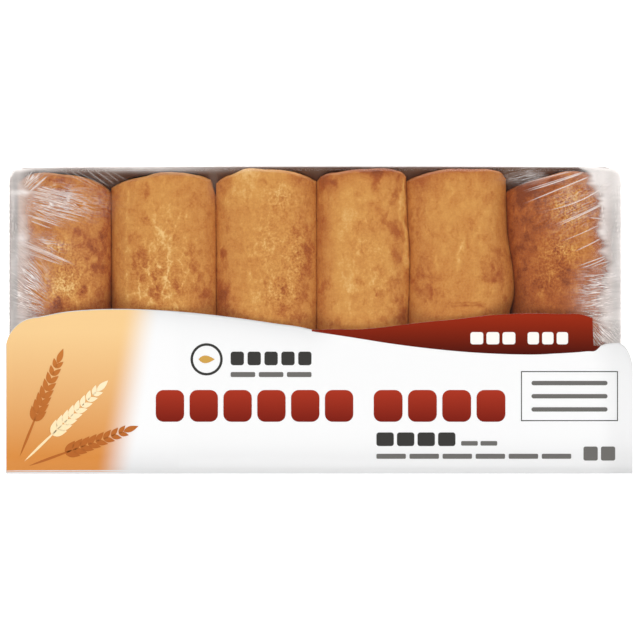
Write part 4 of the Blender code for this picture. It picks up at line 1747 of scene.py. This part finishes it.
ROLLS = (
    RollShape(
        ((-60.0, -133.4), (60.0, -133.8)),
        SEAM_1_2,
        far_end=(
            (-133.4, 62.4), (-130.0, 64.4), (-127.0, 65.5), (-122.1, 65.9), (-112.4, 64.8),
            (-103.2, 63.6), (-96.6, 61.2), (-92.0, 58.4),
        ),
        top=34.4,
        browned=patches(
            (-115.3, 62.1, 3.8, 1.6, 0.6), (-106.1, 40.1, 2.2, 2.2, 0.6), (-101.1, 31.3, 4.5, 4.0, 0.4),
            (-99.9, 23.1, 2.6, 2.6, 0.8), (-103.9, 13.1, 2.4, 2.6, 0.7), (-115.3, 8.7, 2.2, 2.6, 1.0),
            (-125.6, 18.7, 3.0, 2.0, 0.5), (-95.5, 35.0, 3.0, 20.0, 0.3), (-111.8, 53.3, 6.0, 5.0, 0.3),
        ),
        crackled=patches(
            (-115.6, 32.6, 5.5, 2.6, 1.2), (-113.7, 15.0, 8.0, 7.0, 1.1), (-108.7, 25.0, 9.0, 9.0, 0.5),
        ),
        paled_and_shaded=patches((-116.5, 16.0, 7.0, 5.0, 0.25), (-129.0, 54.0, 6.0, 10.0, 0.35)),
        veins=splits(
            0.13, 0.50, 3,
            ((-116.2, 41.4), (-113.7, 38.9), (-111.8, 36.3), (-112.1, 33.2)),
            ((-113.7, 21.2), (-108.7, 16.8), (-107.7, 9.3), (-106.1, 6.2)),
            ((-120.0, 9.9), (-115.0, 13.7), (-111.2, 15.0), (-108.7, 16.8)),
            ((-98.6, 26.3), (-101.7, 25.7), (-104.3, 23.1), (-104.9, 19.4)),
            ((-101.1, 15.0), (-102.4, 10.6), (-101.7, 6.2)),
        ),
        right_gap=((-60.0, 1.0), (6.0, 1.6), (16.0, 0.8), (26.0, 0.1), (50.0, 0.1), (60.0, 0.9)),
        squeeze=(0.2, 1.6),
    ),
    RollShape(
        SEAM_1_2, SEAM_2_3,
        far_end=(
            (-90.3, 60.4), (-85.2, 62.5), (-75.8, 64.3), (-71.4, 65.5), (-61.3, 65.8), (-56.3, 65.2),
            (-53.1, 64.6), (-50.2, 63.6), (-48.4, 62.2), (-47.2, 57.0), (-46.2, 50.0),
        ),
        top=35.0,
        browned=patches(
            (-78.8, 28.8, 3.6, 3.0, 0.8), (-72.2, 12.4, 2.2, 3.8, 1.1), (-56.8, 31.3, 2.4, 3.2, 0.6),
            (-56.2, 25.0, 2.4, 3.0, 0.6), (-63.1, 15.6, 2.6, 2.6, 0.7), (-82.3, 36.3, 2.4, 3.6, 0.6),
            (-75.7, 44.5, 2.0, 2.0, 0.5), (-76.3, 57.1, 2.0, 3.4, 0.5), (-80.1, 23.8, 4.0, 4.0, 0.6),
            (-68.7, 22.5, 1.8, 2.4, 0.5), (-49.9, 10.6, 3.0, 5.0, 0.4), (-53.0, 18.0, 5.0, 10.0, 0.4),
            (-77.0, 19.0, 4.0, 6.0, 0.35),
        ),
        crackled=patches((-70.0, 16.0, 15.0, 16.0, 1.1), (-68.0, 38.0, 10.0, 14.0, 0.5)),
        paled_and_shaded=patches((-69.0, 37.6, 2.6, 2.6, 0.4), (-68.7, 53.3, 5.0, 9.0, 0.25)),
        veins=splits(
            0.15, 0.46, 7,
            (
                (-84.2, 57.1), (-84.5, 48.3), (-84.6, 42.6), (-85.4, 31.3), (-84.5, 21.2), (-85.1, 15.0),
                (-84.5, 8.7),
            ),
            (
                (-61.2, 47.7), (-62.4, 42.6), (-65.0, 37.6), (-66.5, 35.1), (-66.2, 28.8), (-65.6, 25.0),
                (-66.2, 21.2),
            ),
            ((-72.5, 44.5), (-71.9, 41.4), (-69.7, 38.9), (-67.5, 35.7)),
            (
                (-72.2, 35.1), (-72.5, 30.1), (-71.9, 26.3), (-68.7, 21.2), (-66.9, 15.6), (-65.9, 9.9),
                (-65.6, 5.5),
            ),
            (
                (-84.5, 32.6), (-81.9, 28.8), (-78.2, 25.6), (-75.7, 22.5), (-74.7, 15.6), (-76.3, 11.8),
                (-79.7, 10.5),
            ),
            ((-76.3, 11.2), (-75.0, 8.0), (-71.3, 7.1)),
            ((-54.9, 35.7), (-56.2, 31.3), (-53.0, 21.9)),
            ((-58.7, 27.9), (-54.3, 27.9)),
        ),
        left_gap=((-60.0, 0.5), (6.0, 0.9), (16.0, 0.4), (26.0, 0.0), (60.0, 0.3)),
        right_gap=((0.0, 0.0), (44.0, 0.0), (54.0, 0.5), (60.0, 1.4)),
        squeeze=(1.5, 2.6),
    ),
    RollShape(
        SEAM_2_3, SEAM_3_4,
        far_end=(
            (-45.0, 61.2), (-41.2, 63.7), (-36.2, 65.6), (-32.4, 67.3), (-22.3, 67.25), (-14.8, 66.8),
            (-8.5, 65.4), (-3.4, 63.2),
        ),
        top=34.8,
        browned=patches(
            (-16.9, 14.3, 6.0, 4.5, 0.5), (-16.3, 6.2, 3.0, 3.4, 0.9), (-11.2, 2.4, 3.0, 3.0, 0.6),
            (-5.0, 26.3, 2.2, 6.0, 0.5), (-13.1, 49.6, 4.0, 4.0, 0.35), (-42.1, 30.0, 1.8, 2.4, 0.6),
            (-8.7, 12.4, 3.0, 8.0, 0.4), (-10.0, 33.8, 4.0, 8.0, 0.35), (-42.0, 10.0, 4.0, 12.0, 0.28),
            (-7.0, 24.0, 3.5, 18.0, 0.35), (-7.0, 9.0, 4.0, 5.0, 0.4), (-17.0, 18.0, 3.0, 3.0, 0.35),
        ),
        crackled=patches(
            (-17.5, 54.6, 6.0, 5.0, 1.0), (-21.9, 33.8, 7.0, 12.0, 0.7), (-9.4, 28.8, 5.0, 12.0, 0.9),
            (-17.5, 12.4, 8.0, 8.0, 1.0),
        ),
        # The negative patches are painted shade in the far corners and low along the left seam.
        paled_and_shaded=patches(
            (-35.0, 59.0, 10.0, 9.0, 0.42), (-30.1, 65.3, 8.0, 3.0, 0.25), (-41.0, 62.0, 3.5, 4.0, -0.6),
            (-7.0, 62.0, 5.0, 4.0, -0.45), (-28.2, 10.6, 3.0, 6.0, 0.3), (-15.6, 59.6, 3.4, 1.6, 0.3),
            (-43.0, 8.0, 5.0, 12.0, -0.5),
        ),
        veins=splits(
            0.12, 0.50, 3,
            ((-30.7, 21.2), (-31.1, 16.2), (-28.9, 8.7), (-29.5, 4.3)),
            ((-23.8, 45.1), (-23.2, 41.4), (-24.1, 33.8), (-25.7, 28.8)),
            ((-8.7, 33.8), (-5.6, 26.3), (-5.0, 21.2)),
            ((-5.6, 10.6), (-7.5, 5.5)),
        ),
        left_gap=((30.0, 0.0), (60.0, 0.1)),
        right_gap=((30.0, 0.0), (50.0, 0.3), (60.0, 1.2)),
        squeeze=(2.6, 2.6),
    ),
    RollShape(
        SEAM_3_4, SEAM_4_5,
        far_end=(
            (-1.1, 61.6), (2.1, 64.9), (9.2, 66.2), (14.4, 67.1), (20.0, 67.4), (32.0, 67.4),
            (35.6, 66.3), (38.6, 62.2),
        ),
        top=34.6,
        browned=patches(
            (24.6, 61.1, 2.0, 4.0, 0.7), (32.8, 54.8, 4.0, 4.0, 0.5), (30.3, 43.5, 4.0, 3.0, 0.6),
            (34.1, 38.5, 3.0, 3.0, 0.8), (34.7, 29.0, 3.6, 4.4, 0.6), (36.0, 20.9, 3.0, 3.0, 0.6),
            (32.2, 16.5, 3.0, 3.4, 0.35), (26.8, 12.4, 2.4, 1.8, 0.7), (17.1, 9.5, 3.0, 2.4, 0.5),
            (17.7, 17.1, 3.4, 2.0, 0.4), (15.2, 30.3, 4.0, 4.0, 0.5), (25.3, 23.4, 2.4, 2.0, 0.45),
            (5.8, 60.5, 2.4, 2.0, 0.5), (34.1, 9.5, 3.0, 5.0, 0.4), (36.6, 3.3, 3.0, 5.0, 0.5),
            (24.0, 49.8, 2.4, 2.0, 0.45), (2.6, 16.5, 1.6, 4.0, 0.35), (27.8, 64.9, 7.0, 1.8, 0.4),
        ),
        crackled=patches((20.0, 34.0, 8.0, 8.0, 0.4), (24.0, 16.0, 9.0, 14.0, 0.4)),
        # The negative patches are painted shade along the left seam and in the far left corner, and at the
        # far end partly painted shade where the end curves down and partly a browner toasted edge.
        paled_and_shaded=patches(
            (11.0, 36.5, 5.0, 22.0, 0.2), (11.6, 13.3, 5.0, 10.0, 0.2), (16.5, 46.0, 7.0, 3.0, 0.2),
            (1.6, 38.0, 3.4, 34.0, -0.4), (30.0, 17.0, 8.0, 8.0, 0.2), (22.0, 65.5, 20.0, 4.5, -0.55),
            (24.0, 67.4, 14.0, 1.8, -0.9), (4.0, 62.5, 6.0, 6.0, -0.7),
        ),
        veins=splits(
            0.12, 0.50, 3,
            ((13.3, 24.6), (13.6, 15.8), (13.3, 7.0), (13.9, 2.0)),
            ((22.1, 25.3), (22.7, 20.9), (24.0, 16.5)),
            ((14.6, 35.3), (16.1, 32.2), (17.7, 29.0)),
        )
        + splits(-0.4, 0.3, 0, ((24.3, 14.3), (25.1, 11.1))),
        flaps=(
            Flap(
                (
                    (22.1, 39.1), (25.9, 38.5), (38.5, 38.2), (44.8, 36.9), (51.1, 36.6), (57.3, 37.0),
                    (64.3, 37.6),
                ),
                1.25, 0.5, 0.2,
            ),
        ),
        left_gap=((30.0, 0.0), (50.0, 0.3), (60.0, 1.2)),
        right_gap=((30.0, 0.0), (60.0, 0.3)),
        squeeze=(2.6, 2.6),
        rim_pale=0.0,
    ),
    RollShape(
        SEAM_4_5, SEAM_5_6,
        far_end=(
            (39.0, 62.5), (46.2, 65.1), (57.2, 67.4), (66.4, 67.5), (76.5, 67.5), (79.8, 66.7),
            (82.8, 62.4),
        ),
        top=35.0,
        browned=patches(
            (67.7, 43.5, 2.0, 3.6, 0.5), (82.1, 29.7, 2.0, 3.0, 0.5), (79.0, 20.2, 1.6, 2.0, 0.5),
            (46.9, 22.1, 4.0, 7.0, 0.55), (63.9, 62.4, 6.0, 3.0, 0.3), (68.3, 7.0, 6.0, 1.2, 0.4),
            (51.3, 13.3, 5.0, 5.0, 0.4), (76.5, 19.0, 6.0, 10.0, 0.55),
        ),
        crackled=patches((64.0, 26.0, 7.0, 16.0, 0.25)),
        # The negative patches are painted shade in the far left corner, and at the far end partly painted
        # shade where the end curves down and partly a browner toasted edge.
        paled_and_shaded=patches(
            (62.0, 48.0, 17.0, 14.0, 0.22), (39.5, 52.0, 2.6, 10.0, 0.35), (73.3, 10.2, 5.0, 5.0, 0.12),
            (60.0, 66.0, 22.0, 4.0, -0.3), (64.0, 67.0, 16.0, 2.2, -0.8), (46.0, 61.5, 6.0, 7.0, -0.65),
        ),
        veins=splits(
            0.16, 0.45, 3,
            ((64.2, 36.6), (62.6, 32.8), (61.1, 29.7), (61.4, 26.5), (60.8, 22.1)),
        )
        + splits(-0.18, 0.32, 0, ((57.6, 8.0), (66.0, 8.2), (72.7, 7.8)), ((58.5, 6.8), (71.0, 6.7)))
        + splits(0.12, 0.4, 1, ((68.3, 38.8), (76.5, 38.5)), ((51.6, 29.0), (52.0, 24.0))),
        left_gap=((-60.0, 0.1), (30.0, 0.2), (60.0, 0.5)),
        right_gap=((-60.0, 0.1), (60.0, 0.2)),
        squeeze=(2.6, 1.5),
        rim_pale=0.02,
    ),
    RollShape(
        SEAM_5_6,
        ((-60.0, 130.0), (60.0, 129.6)),
        far_end=(
            (83.4, 58.4), (93.7, 62.0), (102.5, 64.4), (107.0, 66.0), (119.0, 66.2), (124.0, 65.4),
            (128.6, 62.0),
        ),
        top=34.4,
        browned=patches(
            (90.7, 44.8, 6.0, 24.0, 0.5), (109.0, 20.2, 4.0, 5.0, 0.7), (104.0, 24.6, 2.4, 2.4, 0.45),
            (107.1, 61.8, 6.0, 2.4, 0.5), (122.2, 34.7, 3.0, 3.0, 0.45), (118.4, 23.4, 3.0, 3.0, 0.35),
            (98.9, 43.5, 4.0, 8.0, 0.35), (90.7, 58.6, 6.0, 4.0, 0.45),
        ),
        crackled=patches(
            (110.5, 50.2, 9.0, 10.0, 1.2), (107.1, 30.9, 7.0, 5.0, 0.9), (102.1, 19.6, 8.0, 8.0, 0.5),
        ),
        # The negative patches are the painted shadow that roll 5 casts on this roll's left part.
        paled_and_shaded=patches(
            (108.4, 29.0, 2.4, 2.6, 0.45), (97.0, 8.3, 5.0, 3.4, 0.3), (111.5, 39.7, 6.0, 3.0, 0.2),
            (117.0, 32.0, 7.0, 9.0, 0.55), (98.0, 57.0, 12.0, 6.0, -0.35), (98.0, 15.0, 13.0, 7.0, -0.35),
            (111.6, 52.3, 8.0, 9.0, 0.42),
        ),
        veins=splits(
            0.12, 0.50, 3,
            ((101.4, 34.7), (101.1, 29.7), (102.1, 24.6), (101.4, 16.5)),
            ((98.3, 20.2), (98.9, 15.8), (97.7, 10.2)),
            ((110.9, 15.8), (110.2, 12.1), (111.5, 8.3)),
            ((100.8, 39.1), (104.6, 38.5), (108.4, 34.7)),
        ),
        left_gap=((-60.0, 1.5), (4.0, 1.6), (10.0, 0.5), (30.0, 0.3), (60.0, 0.5)),
        squeeze=(1.6, 0.2),
        lean=0.18,
    ),
)

PASTRIES = (
    BakedPastry(
        "baked_pastry_1", tone=0.47, vein_size=4.2, fine_size=1.5, vein_strength=0.24, fine_strength=0.12,
        grit_strength=0.30, mottle_strength=0.55, toast_strength=0.40,
    ),
    BakedPastry(
        "baked_pastry_2", tone=0.60, vein_size=6.0, vein_stretch=1.8, vein_strength=0.26,
        fine_strength=0.05,
    ),
    BakedPastry("baked_pastry_3", tone=0.61, vein_size=3.6, fine_size=1.2, grit_strength=0.24),
    BakedPastry("baked_pastry_4", tone=0.64, vein_size=5.0, fine_strength=0.05),
    BakedPastry(
        "baked_pastry_5", tone=0.58, vein_size=9.0, vein_stretch=2.4, vein_strength=0.07,
        fine_strength=0.03,
    ),
    BakedPastry(
        "baked_pastry_6", tone=0.29, vein_size=4.2, vein_stretch=1.6, vein_strength=0.26,
        fine_strength=0.18, grit_strength=0.30, mottle_strength=0.5, toast_strength=0.22,
    ),
)

# The folds that fan out from the gathered ends: long and few where the film is nearly taut,
# short and crowded where it is bunched. Each fan goes from its first fold to its last. Their
# milky lines are partly painted highlights on the folds.
FILM_FANS = (
    Fan(9, (-130.6, 59.6, -128.0, 66.6), (-128.0, 56.6, -119.3, 64.6), width=0.34, scatter=0.6),
    Fan(9, (-125.0, 59.4, -101.0, 53.4), (-127.4, 54.8, -108.0, 49.0), width=0.34, scatter=0.9),
    Fan(9, (-126.0, 54.0, -94.6, 46.6), (-129.0, 44.6, -115.6, 40.4), width=0.3, scatter=0.9),
    Fan(2, (-135.2, 35.6, -106.0, 24.2), (-135.0, 34.6, -108.0, 24.4), width=0.34, scatter=0.15, bow=0.3),
    Fan(5, (-135.5, 37.0, -104.5, 23.8), (-132.0, 31.8, -113.0, 24.2), width=0.28, scatter=0.7),
    Fan(16, (-136.0, 32.0, -122.6, 21.8), (-135.4, 11.6, -121.6, 5.4), width=0.3, scatter=1.2),
    Fan(8, (-135.6, 11.6, -120.0, 7.6), (-134.6, 1.6, -121.0, 0.0), width=0.3, scatter=0.9),
    Fan(
        7, (-116.0, 67.0, -98.0, 57.0), (-93.0, 67.0, -84.4, 61.0), width=0.26, height=0.12, milk_and_glint=0.42,
        scatter=0.7,
    ),
    Fan(
        14, (-136.8, 52.0, -126.0, 41.0), (-136.6, 20.0, -125.0, 10.0), width=0.26, milk_and_glint=0.6, scatter=1.6,
    ),
    Fan(
        7, (-136.4, 58.0, -128.0, 50.0), (-133.0, 64.0, -126.0, 58.0), width=0.26, milk_and_glint=0.55, scatter=1.2,
    ),
    Fan(2, (118.4, 66.2, 88.2, 56.7), (117.4, 65.6, 89.6, 56.4), width=0.30, milk_and_glint=1.0, scatter=0.1),
    lone((112.8, 66.2, 84.5, 58.9), 0.26, 0.7),
    lone((120.9, 64.3, 88.9, 51.1), 0.30, 0.95),
    lone((127.2, 60.5, 98.9, 48.5), 0.30, 1.0, 1.9),
    Fan(
        2, (127.2, 52.9, 102.1, 41.6), (126.4, 52.0, 103.0, 41.0), width=0.30, milk_and_glint=1.0, scatter=0.1,
        bow=0.5,
    ),
    lone((126.6, 44.8, 117.8, 45.7), 0.30, 0.9),
    lone((124.7, 42.9, 105.8, 34.7), 0.30, 0.95, 0.4),
    lone((124.7, 36.6, 111.8, 30.3), 0.30, 0.9, 0.3),
    Fan(
        2, (127.2, 29.0, 112.1, 23.4), (127.0, 28.1, 113.2, 22.8), width=0.30, milk_and_glint=1.0, scatter=0.1,
        bow=0.3,
    ),
    lone((128.5, 26.5, 118.4, 22.8), 0.26, 0.9),
    Fan(14, (131.0, 21.4, 115.5, 19.0), (131.0, 4.0, 114.0, 2.4), width=0.30, milk_and_glint=1.0, scatter=0.9),
    Fan(7, (131.0, 1.0, 117.0, 4.2), (134.0, -7.0, 121.0, -1.0), width=0.28, milk_and_glint=1.0, scatter=0.9),
    Fan(8, (122.0, -10.0, 134.0, 5.0), (131.0, -12.0, 138.0, -1.0), width=0.32, milk_and_glint=0.95, scatter=1.0),
    lone((122.5, 66.0, 124.5, 52.0), 0.5, 0.9, -0.3),
    lone((124.5, 53.0, 127.2, 38.0), 0.45, 0.85, -0.4),
    Fan(
        6, (100.0, 66.4, 82.6, 64.2), (102.0, 61.4, 83.0, 60.6), width=0.28, height=0.12, milk_and_glint=0.26,
        scatter=0.3,
    ),
    Fan(
        7, (133.0, 62.0, 131.6, 34.0), (127.6, 42.0, 129.6, 20.0), width=0.32, milk_and_glint=0.8, scatter=1.1,
        bow=0.6,
    ),
    Fan(10, (134.6, 48.0, 126.0, 40.0), (134.6, 20.0, 125.0, 16.0), width=0.26, milk_and_glint=0.8, scatter=1.8),
    Fan(6, (131.0, 64.5, 122.0, 61.0), (134.0, 56.0, 125.0, 50.0), width=0.28, milk_and_glint=0.9, scatter=1.0),
)

FILM_BANDS = (
    MilkBand(
        End.LEFT,
        ((0.0, -127.6), (8.0, -128.4), (30.0, -128.6), (42.0, -128.4), (56.0, -127.6), (66.0, -128.0)),
        0.54, 7.0, 1.6,
    ),
    MilkBand(
        End.LEFT,
        ((36.0, -136.0), (42.0, -129.6), (50.0, -127.2), (55.0, -125.6), (57.4, -125.6), (58.6, -136.0)),
        0.30, 1.8,
    ),
    MilkBand(
        End.RIGHT,
        (
            (-12.0, 126.0), (0.0, 125.0), (12.0, 124.6), (20.0, 125.2), (29.0, 125.2), (38.0, 124.4),
            (51.0, 123.8), (58.0, 121.6), (64.0, 119.4), (67.0, 116.0),
        ),
        0.72, 5.5, 3.2,
    ),
)

# The two patches along the far rim, at y 67, are painted sheen where the film turns over the rim.
FILM_PATCHES = patches(
    (-131.6, 56.6, 6.0, 1.0, 0.4), (-135.0, 50.0, 1.0, 7.0, 0.2), (-130.6, 20.0, 5.0, 13.0, 0.12),
    (-129.0, 2.0, 6.0, 5.0, 0.30), (-131.0, 36.0, 5.0, 3.0, 0.2), (-112.0, 35.0, 14.0, 24.0, 0.02),
    (124.0, 9.0, 9.0, 10.0, 0.26), (125.0, -6.0, 9.0, 8.0, 0.08), (-136.8, 25.0, 0.7, 45.0, -0.3),
    (-76.0, 67.2, 30.0, 1.6, 0.55), (-125.0, 67.0, 14.0, 1.8, 0.5), (-47.0, 59.0, 2.2, 6.0, 0.04),
    (124.0, 64.0, 7.0, 4.0, 0.35), (130.0, 58.0, 4.0, 8.0, 0.2),
)

FILM_GATHERS = (
    Gather((-131.0, 57.0), Blotch(-126.0, 62.0, 5.0, 5.0, 0.9)),
    Gather((-175.0, 68.0), Blotch(-116.0, 52.0, 15.0, 7.0, 0.9)),
    Gather((-150.0, 92.0), Blotch(-100.0, 62.5, 12.0, 4.0, 0.12)),
    Gather((-160.0, 45.0), Blotch(-124.0, 33.0, 9.0, 5.0, 0.8)),
    Gather((-95.0, -8.0), Blotch(-129.5, 15.0, 8.0, 16.0, 1.2)),
    Gather((-134.0, 300.0), Blotch(-134.6, 42.0, 2.6, 22.0, 0.8)),
    Gather((206.0, 93.0), Blotch(115.0, 52.0, 13.0, 13.0, 0.30)),
    Gather((184.0, 16.0), Blotch(126.0, 11.0, 9.0, 11.5, 1.3)),
    Gather((100.0, 20.0), Blotch(127.0, -5.0, 9.0, 8.0, 1.25)),
    Gather((131.0, 300.0), Blotch(128.6, 36.0, 3.0, 30.0, 0.7)),
    Gather((150.0, 80.0), Blotch(91.0, 63.5, 8.0, 3.0, 0.5)),
)


def write_sizes() -> None:
    """Work out the CAD model's box and the finished model's box as plain lists of numbers."""
    boxes = {"cad": cad_box, "visual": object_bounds()}
    plain = {key: [[float(v) for v in corner] for corner in box] for key, box in boxes.items()}


def main() -> None:
    """Build the pack from the inside out, then the studio around it."""
    logging.basicConfig(level=logging.INFO, format="%(name)s %(message)s")
    Studio().build()
    Tray(ROLLS).build()
    for number, (shape, finish) in enumerate(zip(ROLLS, PASTRIES), start=1):
        SausageRoll(number, shape, finish).build()
    WrappingFilm(fans=FILM_FANS, bands=FILM_BANDS, patches=FILM_PATCHES, gathers=FILM_GATHERS).build()
    Label().build()
    write_sizes()


if __name__ == "__main__":
    main()
